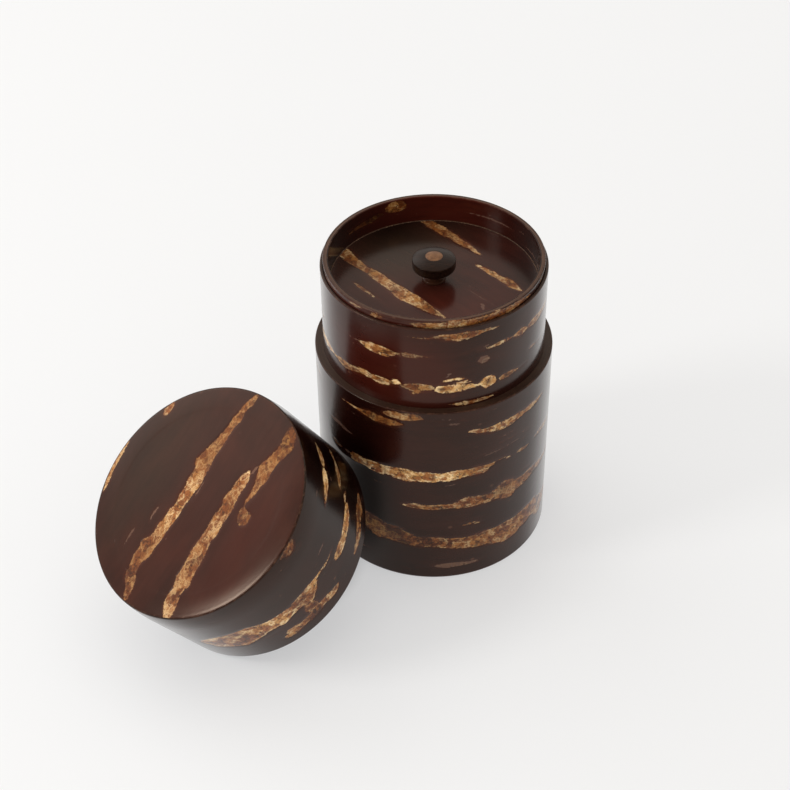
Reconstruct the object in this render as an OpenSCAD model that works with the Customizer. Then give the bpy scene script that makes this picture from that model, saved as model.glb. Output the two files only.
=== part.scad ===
// Cherry-bark tea caddy: a straight round body with a stepped-in collar, a
// knobbed inner lid that drops into the collar, and an outer lid that slides
// down over the collar. The outer lid is off and leans on the body.
// Every wall is a thin wooden tube with a sheet of bark glued on each side.
// Origin: centre of the underside of the body, +Z up. Millimetres.

/* [Body] */
// Outer diameter of the body and of the outer lid
body_d = 80; // [70:0.5:95]
// Height of the outer tube, from the table to the step
body_h = 74.8; // [60:0.1:100]
// Whole thickness of the outer tube at the step, bark included
step_w = 2.8; // [2.2:0.1:4]
// Thickness of one sheet of bark
bark_t = 0.45; // [0.3:0.05:0.6]
// Thickness of the bottom board
bottom_t = 3; // [2:0.5:5]

/* [Collar] */
// Height of the collar above the step
collar_h = 31.4; // [20:0.1:45]
// Width of the collar's edge, from its outside to the rebate
collar_edge_w = 0.95; // [0.8:0.05:1.5]
// Whole thickness of the collar tube below the rebate
collar_w = 2.4; // [2.2:0.05:3.5]

/* [Inner lid] */
// Height of the inner lid's ring
ring_h = 14.1; // [12:0.1:20]
// Height that the ring stands above the collar's edge
ring_proud = 2.4; // [1:0.1:5]
// Whole thickness of the ring
ring_w = 1.77; // [1.5:0.01:2.4]
// Depth of the sunk disc below the top of the ring
recess_h = 9.75; // [8:0.05:11]
// Thickness of the wooden disc in the ring
disc_t = 2.4; // [1.5:0.1:2.5]
// Radial clearance of the ring in the collar
ring_fit = 0.08; // [0.02:0.01:0.1]

/* [Knob] */
// Diameter of the knob
knob_d = 14.3; // [10:0.1:18]
// Height of the knob above the sunk disc
knob_h = 9.45; // [8:0.05:11]
// Diameter of the round plug in the top of the knob
plug_d = 5.7; // [3:0.1:6]
// Diameter of the peg that holds the knob
peg_d = 3.2; // [2:0.1:3.6]

/* [Outer lid] */
// Height of the outer lid
lid_h = 40.1; // [38:0.1:55]
// Radial clearance of the outer lid on the collar
lid_fit = 0.08; // [0.02:0.01:0.1]
// Thickness of the wooden board in the top of the lid
lid_board_t = 2.2; // [1.5:0.1:2.4]
// How far the lid's wall draws in towards its top
lid_draw = 0.8; // [0:0.1:1.1]

/* [Place of the loose lid] */
// Lean of the lid's axis from upright
lean_tilt = 34.15; // [20:0.05:45]
// Compass direction that the lid's top leans in, from +X towards +Y
lean_dir = -138.8; // [-180:0.1:180]
// Sideways offset of the lid from the line through the body's axis
lean_side = -4.5; // [-8:0.1:8]
// Gap left between the lid's rim and the body's wall
lean_gap = 0.3; // [0.2:0.05:1]

/* [Hidden] */
$fn = 128;

R = body_d / 2;                       // outer radius
bark_c = [0.27, 0.15, 0.12];          // lacquered bark
veneer_c = [0.30, 0.19, 0.14];        // lacquered cut edge of the tubes
board_c = [0.72, 0.55, 0.36];         // plain wood

soft = 0.4;                           // softening of the cut edges
collar_r = R - step_w;                // outside of the collar
rebate_r = collar_r - collar_edge_w;  // bore that the inner lid drops into
bore_r = collar_r - collar_w;         // inside of the bare collar tube
tea_r = bore_r - bark_t;              // inside of the bark lining
collar_top = body_h + collar_h;
ring_top = collar_top + ring_proud;
ring_foot = ring_top - ring_h;        // the ring stands on the rebate's floor
seat_gap = 0.05;                      // under the ring
ring_r = rebate_r - ring_fit;         // outside of the ring
ring_in = ring_r - ring_w;            // inside of the ring
disc_top = ring_top - recess_h;
knob_r = knob_d / 2;
plug_r = plug_d / 2;
lid_in = collar_r + lid_fit;          // inside of the lid
lid_top_t = bark_t + 0.45;            // top sheet with its base
lid_ceiling = lid_h - lid_top_t - lid_board_t - bark_t;
draw_h = 10;                          // height over which the lid draws in

// points of an arc about c, from angle a to b
function arc(c, r, a, b, n = 6) =
  [for (i = [0 : n]) c + r * [cos(a + (b - a) * i / n), sin(a + (b - a) * i / n)]];
// one corner of a ring's section, softened by r; q is the quarter 0 to 3
function corner(x, z, r, q) =
  r <= 0 ? [[x, z]] :
  arc([x + (q == 0 || q == 3 ? -r : r), z + (q == 0 || q == 1 ? -r : r)],
      r, q * 90, q * 90 + 90);
// points of a cubic curve, without its last point
function bez(p0, p1, p2, p3, n = 7) =
  [for (i = [0 : n - 1]) let (t = i / n, u = 1 - t)
    u * u * u * p0 + 3 * u * u * t * p1 + 3 * u * t * t * p2 + t * t * t * p3];

// a ring or disc about Z; each corner can be softened:
// e = [outer top, inner top, inner bottom, outer bottom]
module tube(r_in, r_out, z0, z1, e = [0, 0, 0, 0]) {
  rotate_extrude()
    polygon(concat(corner(r_out, z1, e[0], 0), corner(r_in, z1, e[1], 1),
                   corner(r_in, z0, e[2], 2), corner(r_out, z0, e[3], 3)));
}

// ---- body -----------------------------------------------------------------

module body_outer_bark() {
  color(bark_c)
    tube(R - bark_t, R, bark_t, body_h, [soft, 0, 0, 0.2]);
}

module body_core_tube() {
  color(veneer_c)
    tube(collar_r, R - bark_t, bark_t, body_h, [0, 0, 0, 0]);
}

// the inner tube: it stands on the bottom board, and its top is rebated
module collar_core_tube() {
  seat = ring_foot - seat_gap;
  color(veneer_c) rotate_extrude()
    polygon([[bore_r, bark_t + bottom_t], [collar_r - bark_t, bark_t + bottom_t],
             [collar_r - bark_t, collar_top], [rebate_r + 0.15, collar_top],
             [rebate_r, collar_top - 0.15], [rebate_r, seat], [bore_r, seat]]);
}

module collar_bark() {
  color(bark_c)
    tube(collar_r - bark_t, collar_r, bark_t + bottom_t, collar_top, [soft, 0, 0, 0]);
}

module liner_bark() {
  color(bark_c)
    tube(tea_r, bore_r, 2 * bark_t + bottom_t, ring_foot - seat_gap, [0, 0.2, 0, 0]);
}

module bottom_board() {
  color(board_c) tube(0, collar_r, bark_t, bark_t + bottom_t);
}

module bottom_bark() {
  color(bark_c) tube(0, R - 0.15, 0, bark_t, [0, 0, 0, 0.35]);
}

module floor_bark() {
  color(bark_c) tube(0, bore_r, bark_t + bottom_t, 2 * bark_t + bottom_t);
}

// ---- inner lid ------------------------------------------------------------

module inner_lid_ring() {
  color(veneer_c)
    tube(ring_in + bark_t, ring_r - bark_t, ring_foot, ring_top);
}

module inner_lid_outer_bark() {
  color(bark_c)
    tube(ring_r - bark_t, ring_r, ring_foot, ring_top, [0.3, 0, 0, 0.2]);
}

module inner_lid_inner_bark() {
  color(bark_c)
    tube(ring_in, ring_in + bark_t, disc_top, ring_top, [0, 0.3, 0, 0]);
}

module inner_lid_board() {
  color(board_c)
    tube(peg_d / 2, ring_in + bark_t, disc_top - bark_t - disc_t, disc_top - bark_t);
}

module inner_lid_top_bark() {
  color(bark_c)
    tube(peg_d / 2, ring_in + bark_t, disc_top - bark_t, disc_top);
}

module inner_lid_under_bark() {
  color(bark_c)
    tube(peg_d / 2, ring_in + bark_t, disc_top - 2 * bark_t - disc_t,
         disc_top - bark_t - disc_t);
}

// turned knob: a foot, a waist, and a flared head with a low crown
module knob() {
  k = knob_r;
  h = knob_h;
  color([0.09, 0.07, 0.065]) translate([0, 0, disc_top]) rotate_extrude()
    polygon(concat(
      [[0, 0.5 * h], [peg_d / 2, 0.5 * h], [peg_d / 2, 0]],
      bez([0.525 * k, 0], [0.567 * k, 0.027 * h], [0.545 * k, 0.09 * h], [0.448 * k, 0.106 * h], 5),
      bez([0.448 * k, 0.106 * h], [0.35 * k, 0.127 * h], [0.35 * k, 0.233 * h], [0.434 * k, 0.296 * h]),
      bez([0.434 * k, 0.296 * h], [0.587 * k, 0.402 * h], [0.965 * k, 0.413 * h], [k, 0.582 * h], 9),
      [[k, 0.582 * h]],
      bez([k, 0.794 * h], [k, 0.836 * h], [0.972 * k, 0.852 * h], [0.923 * k, 0.862 * h], 4),
      bez([0.923 * k, 0.862 * h], [0.755 * k, 0.915 * h], [0.56 * k, 0.952 * h], [plug_r, 0.965 * h]),
      [[plug_r, 0.965 * h], [plug_r, 0.836 * h], [0, 0.836 * h]]));
}

module knob_plug() {
  h = knob_h;
  color([0.42, 0.27, 0.20]) translate([0, 0, disc_top]) rotate_extrude()
    polygon(concat([[0, 0.836 * h], [plug_r, 0.836 * h]],
      bez([plug_r, 0.965 * h], [0.7 * plug_r, 0.985 * h], [0.4 * plug_r, h], [0, h], 6),
      [[0, h]]));
}

module knob_peg() {
  color(board_c)
    tube(0, peg_d / 2, disc_top - 2 * bark_t - disc_t, disc_top + 0.5 * knob_h);
}

// ---- outer lid ------------------------------------------------------------

// outer radius of the lid's wall at a height, and its softened top corner
function wall_r(z) =
  R - (z <= lid_h - draw_h ? 0 : lid_draw * pow((z - lid_h + draw_h) / draw_h, 2));
function wall_side(off, z1) =
  concat([[R - off, 0]],
         [for (i = [0 : 8]) let (z = lid_h - draw_h + i * (z1 - lid_h + draw_h) / 8)
           [wall_r(z) - off, z]]);

// nearest distance from the body's axis to the rim of a lid that leans with
// its centre d away
function rim_dist(d) = min([for (a = [-60 : 1 : 60])
  norm([d - R * cos(lean_tilt) * cos(a), lean_side + R * sin(a)])]);
function reach(d, n = 12) = n == 0 ? d : reach(d - rim_dist(d) + R + lean_gap, n - 1);

lean_reach = reach(1.8 * R);
lean_z = (R - soft) * sin(lean_tilt) + soft - soft * cos(lean_tilt);

module lean() {
  rotate([0, 0, lean_dir]) translate([lean_reach, lean_side, lean_z])
    rotate([0, lean_tilt, 0]) children();
}

module lid_outer_bark() {
  z1 = lid_h - 0.9;
  s = wall_side(0, z1);
  color(bark_c) lean() rotate_extrude()
    polygon(concat(
      [[R - bark_t, 0]], corner(R, 0, soft, 3),
      [for (i = [1 : len(s) - 1]) s[i]],
      [[wall_r(z1) - 0.08, z1 + 0.25], [wall_r(z1) - 0.24, z1 + 0.42],
       [wall_r(z1) - bark_t, z1 + 0.5]],
      [for (i = [len(s) - 1 : -1 : 1]) s[i] - [bark_t, 0]]));
}

module lid_core_tube() {
  z1 = lid_h - lid_top_t;
  color(veneer_c) lean() rotate_extrude()
    polygon(concat([[lid_in + bark_t, z1], [lid_in + bark_t, 0]],
                   wall_side(bark_t, z1)));
}

module lid_lining_bark() {
  color(bark_c) lean() tube(lid_in, lid_in + bark_t, 0, lid_ceiling, [0, 0, 0.25, 0]);
}

module lid_top_board() {
  color(board_c) lean()
    tube(0, lid_in + bark_t, lid_ceiling + bark_t, lid_h - lid_top_t);
}

// the top sheet: flat, with its edge rolled down to the seam
module lid_top_bark() {
  r1 = wall_r(lid_h - lid_top_t) - bark_t;
  color(bark_c) lean() rotate_extrude()
    polygon(concat([[0, lid_h - lid_top_t], [r1, lid_h - lid_top_t]],
      bez([r1, lid_h - 0.45], [r1 - 0.5, lid_h - 0.15], [r1 - 1.3, lid_h], [r1 - 3, lid_h], 8),
      [[r1 - 3, lid_h], [0, lid_h]]));
}

module lid_ceiling_bark() {
  color(bark_c) lean() tube(0, lid_in + bark_t, lid_ceiling, lid_ceiling + bark_t);
}

body_outer_bark();
body_core_tube();
collar_core_tube();
collar_bark();
liner_bark();
bottom_board();
bottom_bark();
floor_bark();
inner_lid_ring();
inner_lid_outer_bark();
inner_lid_inner_bark();
inner_lid_board();
inner_lid_top_bark();
inner_lid_under_bark();
knob();
knob_plug();
knob_peg();
lid_outer_bark();
lid_core_tube();
lid_lining_bark();
lid_top_board();
lid_top_bark();
lid_ceiling_bark();
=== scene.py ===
import math

import bpy
import numpy as np
from mathutils import Matrix, Vector


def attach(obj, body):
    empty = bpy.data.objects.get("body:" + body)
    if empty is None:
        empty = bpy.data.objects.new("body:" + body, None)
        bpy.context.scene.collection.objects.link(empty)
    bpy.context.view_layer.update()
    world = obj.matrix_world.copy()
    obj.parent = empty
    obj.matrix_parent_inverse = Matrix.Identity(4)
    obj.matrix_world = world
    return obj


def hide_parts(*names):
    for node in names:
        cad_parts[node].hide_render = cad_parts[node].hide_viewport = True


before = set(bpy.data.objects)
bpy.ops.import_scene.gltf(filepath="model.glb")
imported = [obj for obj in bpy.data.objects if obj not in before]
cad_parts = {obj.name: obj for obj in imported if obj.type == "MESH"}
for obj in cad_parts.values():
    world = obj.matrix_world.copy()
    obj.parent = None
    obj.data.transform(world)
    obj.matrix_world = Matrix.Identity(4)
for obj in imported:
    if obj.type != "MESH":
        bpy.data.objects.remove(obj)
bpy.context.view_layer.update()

MM = 0.001

# ---------------------------------------------------------------- dimensions
# (millimetres, the same as the part)
R = 40.0
BARK = 0.45
BODY_H = 74.8
COLLAR_R = 37.2
REBATE_R = 36.25
BORE_R = 34.8
TEA_R = 34.35
BOTTOM = 3.0
COLLAR_TOP = 106.2
RING_TOP = 108.6
RING_FOOT = 94.5
RING_R = 36.17
RING_IN = 34.40
DISC_TOP = 98.85
DISC_T = 2.4
KNOB_R = 7.15
KNOB_H = 9.45
PLUG_R = 2.85
PEG_R = 1.6
LID_H = 40.1
LID_IN = 37.28
LID_CEIL = 36.55
LID_TOP_T = 0.9
SOFT = 0.4

LID_TILT, LID_DIR = math.radians(34.15), math.radians(-138.8)
LID_PLACE = (
    Matrix.Translation(Vector((-58.1055, -44.887, 22.299)))
    @ Matrix.Rotation(LID_DIR, 4, "Z")
    @ Matrix.Rotation(LID_TILT, 4, "Y")
)


def wall_r(z):
    """Outside radius of the lid's wall, which draws in near its top."""
    z = np.asarray(z, float)
    return R - np.where(z <= LID_H - 10, 0.0, 0.8 * ((z - LID_H + 10) / 10) ** 2)


# ------------------------------------------------------------- number noise
def _hash(ix, iy, iz, seed):
    n = (
        ix.astype(np.int64) * 374761393
        + iy.astype(np.int64) * 668265263
        + iz.astype(np.int64) * 2147483647
        + seed * 1274126177
    ) & 0xFFFFFFFF
    n = ((n ^ (n >> 13)) * 1274126177) & 0xFFFFFFFF
    n = ((n ^ (n >> 16)) * 2246822519) & 0xFFFFFFFF
    return ((n ^ (n >> 15)) & 0xFFFFFF) / float(0xFFFFFF)


def vnoise(p, seed=0):
    """Smooth value noise, 0 to 1, with one cell per unit."""
    i = np.floor(p).astype(np.int64)
    f = p - i
    f = f * f * (3 - 2 * f)
    out = np.zeros(len(p))
    for dx in (0, 1):
        for dy in (0, 1):
            for dz in (0, 1):
                w = (
                    (f[:, 0] if dx else 1 - f[:, 0])
                    * (f[:, 1] if dy else 1 - f[:, 1])
                    * (f[:, 2] if dz else 1 - f[:, 2])
                )
                out += w * _hash(i[:, 0] + dx, i[:, 1] + dy, i[:, 2] + dz, seed)
    return out


def smooth(a, b, x):
    t = np.clip((x - a) / (b - a), 0, 1)
    return t * t * (3 - 2 * t)


# ------------------------------------------------------------------ streaks
# A streak is a table of [along, low, high] in mm with a tone (0 red-brown,
# 0.5 golden, 1 cream; or [along, tone] pairs) and a strength from 0 to 1.
def streak(rows, tone=0.5, strength=1.0):
    return {"rows": rows, "tone": tone, "strength": strength}


def spindle(rng, s0, s1, t, h, tilt=0.0, tone=None, strength=1.0):
    """A long uneven streak between s0 and s1 with fine drawn-out ends."""
    n = max(7, int((s1 - s0) / 2.4))
    u = np.linspace(0, 1, n)
    lean = rng.uniform(0.55, 1.5)
    body = np.clip(np.sin(np.pi * u ** lean), 0, 1) ** 0.75
    lump = 0.62 + 0.38 * np.abs(np.sin(np.pi * (u * rng.uniform(1.6, 3.4) + rng.uniform())))
    thick = h * 0.5 * body * lump * rng.uniform(0.80, 1.15, n)
    sway = np.cumsum(rng.normal(0, 0.16, n))
    sway -= np.linspace(sway[0], sway[-1], n)
    mid = t + tilt * (u - 0.5) + sway * 0.9
    up = thick * rng.uniform(0.75, 1.25, n)
    down = thick * rng.uniform(0.75, 1.25, n)
    rows = [[s0 + (s1 - s0) * a, m - d, m + e] for a, m, d, e in zip(u, mid, down, up)]
    if tone is None:
        k = rng.uniform(0.2, 0.95, 4)
        tone = [[s0 + (s1 - s0) * f, float(v)] for f, v in zip((0.0, 0.35, 0.7, 1.0), k)]
    return streak(rows, tone, strength)


def widen(streaks, mm):
    for st in streaks:
        rows = st["rows"]
        for row in rows[1:-1]:
            row[1] -= mm
            row[2] += mm
    return streaks


def flecks(rng, count, s_range, t_range, near=None):
    """Short thin streaks, scattered, with some beside the large ones."""
    out = []
    for _ in range(count):
        s = rng.uniform(*s_range)
        t = rng.uniform(*t_range)
        if near and rng.random() < 0.55:
            rows = near[rng.integers(len(near))]["rows"]
            row = rows[rng.integers(len(rows))]
            s = row[0] + rng.normal(0, 1.5)
            t = (row[1] if rng.random() < 0.5 else row[2]) + rng.normal(0, 1.3)
        if not (s_range[0] < s < s_range[1] and t_range[0] < t < t_range[1]):
            continue
        length, h = rng.uniform(1.5, 8), rng.uniform(0.3, 0.75)
        out.append(
            spindle(rng, s - length / 2, s + length / 2, t, h, rng.normal(0, 0.3),
                    rng.uniform(0.0, 0.6), rng.uniform(0.25, 0.7))
        )
    return out


def outline(rows, parts=4):
    """The closed outline of a streak's table, with curves between its points."""
    a = np.array(rows, float)
    low = a[:, [0, 1]]
    high = a[:, [0, 2]]
    start = [low[0]] if abs(a[0, 1] - a[0, 2]) < 1e-6 else [low[0]]
    pts = list(start) + list(low[1:-1]) + [low[-1]]
    if abs(a[-1, 1] - a[-1, 2]) > 1e-6:
        pts.append(high[-1])
    pts += list(high[1:-1][::-1])
    if abs(a[0, 1] - a[0, 2]) > 1e-6:
        pts.append(high[0])
    p = np.array(pts)
    p0, p1, p2, p3 = np.roll(p, 1, 0), p, np.roll(p, -1, 0), np.roll(p, -2, 0)
    out = []
    for k in range(parts):
        t = k / parts
        out.append(
            0.5 * ((2 * p1) + (-p0 + p2) * t + (2 * p0 - 5 * p1 + 4 * p2 - p3) * t * t
                   + (-p0 + 3 * p1 - 3 * p2 + p3) * t ** 3)
        )
    return np.stack(out, 1).reshape(-1, 2)


FAR = -4.0


def field(streaks, S, T):
    """Signed distance into the nearest streak in mm, its tone and strength."""
    sd = np.full(len(S), FAR)
    tone = np.full(len(S), 0.5)
    strength = np.zeros(len(S))
    for st in streaks:
        poly = outline(st["rows"])
        lo, hi = poly.min(0) - 4, poly.max(0) + 4
        k = np.nonzero((S > lo[0]) & (S < hi[0]) & (T > lo[1]) & (T < hi[1]))[0]
        if not len(k):
            continue
        a, b = poly, np.roll(poly, -1, 0)
        e = b - a
        ee = np.maximum((e * e).sum(1), 1e-12)
        d = np.empty(len(k))
        inside = np.zeros(len(k), bool)
        for c in range(0, len(k), 4000):
            kk = k[c:c + 4000]
            P = np.stack([S[kk], T[kk]], 1)
            w = P[:, None, :] - a[None]
            h = np.clip((w * e[None]).sum(2) / ee, 0, 1)
            q = w - e[None] * h[..., None]
            d[c:c + 4000] = np.sqrt((q * q).sum(2).min(1))
            up = (a[None, :, 1] > P[:, None, 1]) != (b[None, :, 1] > P[:, None, 1])
            den = np.where(np.abs(e[:, 1]) < 1e-12, 1e-12, e[:, 1])
            xs = a[None, :, 0] + (P[:, None, 1] - a[None, :, 1]) / den * e[None, :, 0]
            inside[c:c + 4000] = ((up & (P[:, None, 0] < xs)).sum(1) % 2) == 1
        d = np.where(inside, d, -d)
        win = d > sd[k]
        kw = k[win]
        sd[kw] = d[win]
        strength[kw] = st["strength"]
        if isinstance(st["tone"], (int, float)):
            tone[kw] = st["tone"]
        else:
            tt = np.array(st["tone"], float)
            tone[kw] = np.interp(S[kw], tt[:, 0], tt[:, 1])
    return np.clip(sd, FAR, 4.0), tone, strength


rng = np.random.default_rng(7)

BODY = [
    streak([[-17, 72.4, 72.4], [-15.6, 71.3, 73.7], [-13, 70.9, 74.3], [-9, 70.7, 74.3], [-6, 71.0, 74.1], [-4, 71.6, 73.4], [-2.4, 72.4, 72.4]],
           [[-16, .35], [-9, .5], [-3, .35]]),
    streak([[-34, 69.9, 69.9], [-30, 69.5, 70.3], [-26, 69.0, 70.4], [-23.5, 68.2, 70.9], [-20.5, 67.4, 71.2], [-17.5, 67.6, 71.0], [-14.5, 67.3, 70.6], [-12, 67.8, 70.2], [-9.4, 69.0, 69.0]],
           [[-30, .6], [-22, .3], [-12, .25]]),
    streak([[-4, 72.1, 72.1], [0, 71.7, 72.8], [5, 71.6, 72.7], [10, 72.1, 72.1]], .5, .38),
    streak([[4.5, 69.9, 69.9], [7, 69.3, 70.6], [9.5, 69.8, 69.8]], .4, .3),
    streak([[11.2, 65.6, 65.6], [13.9, 64.3, 66.5], [16.8, 63.6, 66.0], [19.8, 62.9, 66.1], [22.7, 62.7, 66.1], [25.6, 62.2, 66.1], [28.5, 62.7, 66.1], [31.4, 63.4, 66.3], [34.4, 63.9, 65.9], [37.3, 63.5, 65.9], [40.0, 63.6, 65.6], [43, 64.2, 65.2], [46, 64.8, 64.8]],
           [[11, .7], [24, .62], [40, .5]]),
    streak([[-42, 57.6, 57.6], [-38.9, 56.6, 58.9], [-36, 57.0, 59.0], [-32, 56.8, 58.2], [-27.5, 57, 57]], .5, .36),
    streak([[15, 54, 54], [18, 53.6, 54.6], [23, 53.3, 54.6], [28, 53.8, 54.8], [34, 54.4, 54.4]], .4, .22),
    streak([[-41, 48.2, 48.2], [-39.4, 47.2, 49.4], [-36.5, 46.9, 49.3], [-34.4, 48.2, 48.2]], .45, .6),
    streak([[-33.4, 48, 48], [-32, 47, 48.9], [-31, 47.6, 47.6]], .35, .4),
    streak([[-31, 47.6, 47.6], [-29.8, 45.8, 49.4], [-26.8, 45.4, 49.6], [-23.9, 45.8, 49.5], [-21.0, 45.3, 50.0], [-18.0, 44.9, 50.0], [-15.0, 45.6, 50.0], [-12.1, 44.9, 50.1], [-9.1, 44.6, 50.2], [-6.2, 44.8, 49.8], [-3.2, 44.9, 49.7], [-0.3, 44.8, 49.7], [2.6, 45.0, 49.3], [5.6, 45.1, 49.8], [8.5, 45.5, 49.9], [11.5, 46.2, 49.6], [14.5, 45.9, 50.0], [17.4, 45.8, 49.8], [19.4, 46.9, 49.8], [21.5, 48.4, 50.0], [24, 49.0, 49.9], [27.6, 49.4, 49.4]],
           [[-31, .4], [-26, .6], [-22, .9], [-18, .75], [-12, 1.12], [-6, 1.08], [6, 1.15], [10, 1.0], [12, .6], [20, .45], [27, .5]]),
    streak([[26, 48.8, 48.8], [27, 48.3, 49.4], [28.2, 48.8, 48.8]], 1.0, .8),
    streak([[30.6, 48.6, 48.6], [32.8, 47.6, 49.6], [34.8, 47.4, 49.1], [37.5, 48.2, 48.2]], .45, .7),
    streak([[40, 48.6, 48.6], [44, 47.9, 49.7], [48, 47.2, 49.6], [54, 46.4, 48.4], [62, 46.2, 47.4], [68, 46.6, 46.6]], .55, .7),
    streak([[-10.6, 33.6, 33.6], [-7.8, 32.7, 35.1], [-4.7, 32.7, 35.2], [-1.7, 32.3, 35.1], [1.4, 32.3, 35.1], [4.4, 32.3, 35.2], [7.4, 32.1, 35.4], [10.5, 31.9, 36.8], [13.5, 31.8, 37.0], [16.6, 31.9, 36.4], [19.6, 31.3, 36.0], [22.7, 31.6, 37.5], [25.7, 30.4, 38.8], [28.7, 29.5, 38.1], [31.8, 31.0, 36.6], [34.8, 31.2, 36.1], [37.9, 31.9, 36.0], [42, 32.2, 35.6], [48.4, 31.6, 34.2], [54, 31.4, 33.6], [62, 32.6, 32.6]],
           [[-10, .6], [10, .55], [24, .35], [34, .4], [60, .3]]),
    streak([[-32, 22.6, 22.6], [-28.5, 20.5, 24.6], [-25.1, 17.6, 25.2], [-22.3, 16.4, 24.8], [-19.3, 15.0, 24.4], [-16.3, 15.7, 23.3], [-13.3, 15.4, 23.3], [-10.3, 15.3, 22.2], [-7.3, 14.9, 20.6], [-4.3, 14.5, 19.8], [-1.3, 15.0, 19.7], [1.7, 14.7, 19.7], [4.7, 14.2, 19.2], [7.7, 13.6, 18.8], [10.7, 12.9, 18.4], [13.8, 12.4, 18.5], [16.8, 11.9, 18.8], [19.8, 11.5, 19.0], [22.8, 10.5, 18.7], [25.8, 9.0, 19.3], [28.8, 9.1, 19.1], [31.8, 9.5, 19.0], [34.8, 10.7, 19.2], [37.8, 10.9, 19.3], [40.8, 11.8, 18.8], [43.8, 9.6, 18.9], [46.8, 7.8, 17.0], [50.5, 8.4, 15.6], [56, 9.2, 14.4], [63, 10.2, 13.6], [71, 11.6, 11.6]],
           [[-25, .2], [-8, .2], [4, .42], [24, .45], [48, .4]]),
    streak([[8.5, 24.4, 24.4], [11.4, 23.9, 25], [13.0, 23.7, 25.2], [14.9, 23.3, 24.8], [16.8, 23.2, 24.1], [19, 23.3, 23.3]], .45, .8),
    streak([[-1, 5.4, 5.4], [2.0, 4.7, 6.4], [4.6, 4.2, 7.0], [8, 4.4, 6.9], [12, 4.7, 6.6], [15, 5, 6.2], [19, 5.5, 5.5]], [[0, .2], [6, .3], [16, .6]], .48),
    streak([[-6, 4.7, 4.7], [-3, 4.4, 5.2], [0, 4.7, 4.7]], .2, .3),
    spindle(rng, 62, 120, 66.5, 3.6, 2.0),
    spindle(rng, 74, 104, 55.5, 2.4, -0.8),
    spindle(rng, 70, 122, 39.5, 4.6, -2.0),
    spindle(rng, 84, 122, 24.5, 6.0, 1.5),
    spindle(rng, 64, 84, 26.5, 1.8, 0.5),
    spindle(rng, 82, 118, 10.0, 3.0, 1.0),
    spindle(rng, -122, -72, 62.0, 4.2, 2.0),
    spindle(rng, -124, -82, 47.5, 5.2, -1.0),
    spindle(rng, -92, -52, 37.5, 3.0, 1.5),
    spindle(rng, -122, -62, 20.5, 6.8, 2.0),
    spindle(rng, -62, -42, 9.5, 2.4, 0.4),
    spindle(rng, -108, -78, 7.5, 2.2, 0.4),
    spindle(rng, -64, -47, 69.0, 1.8, 0.6),
    spindle(rng, -60, -44, 30.5, 2.0, -0.5),
]
BODY += flecks(rng, 60, (-122, 122), (3, 72), near=BODY)

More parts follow.
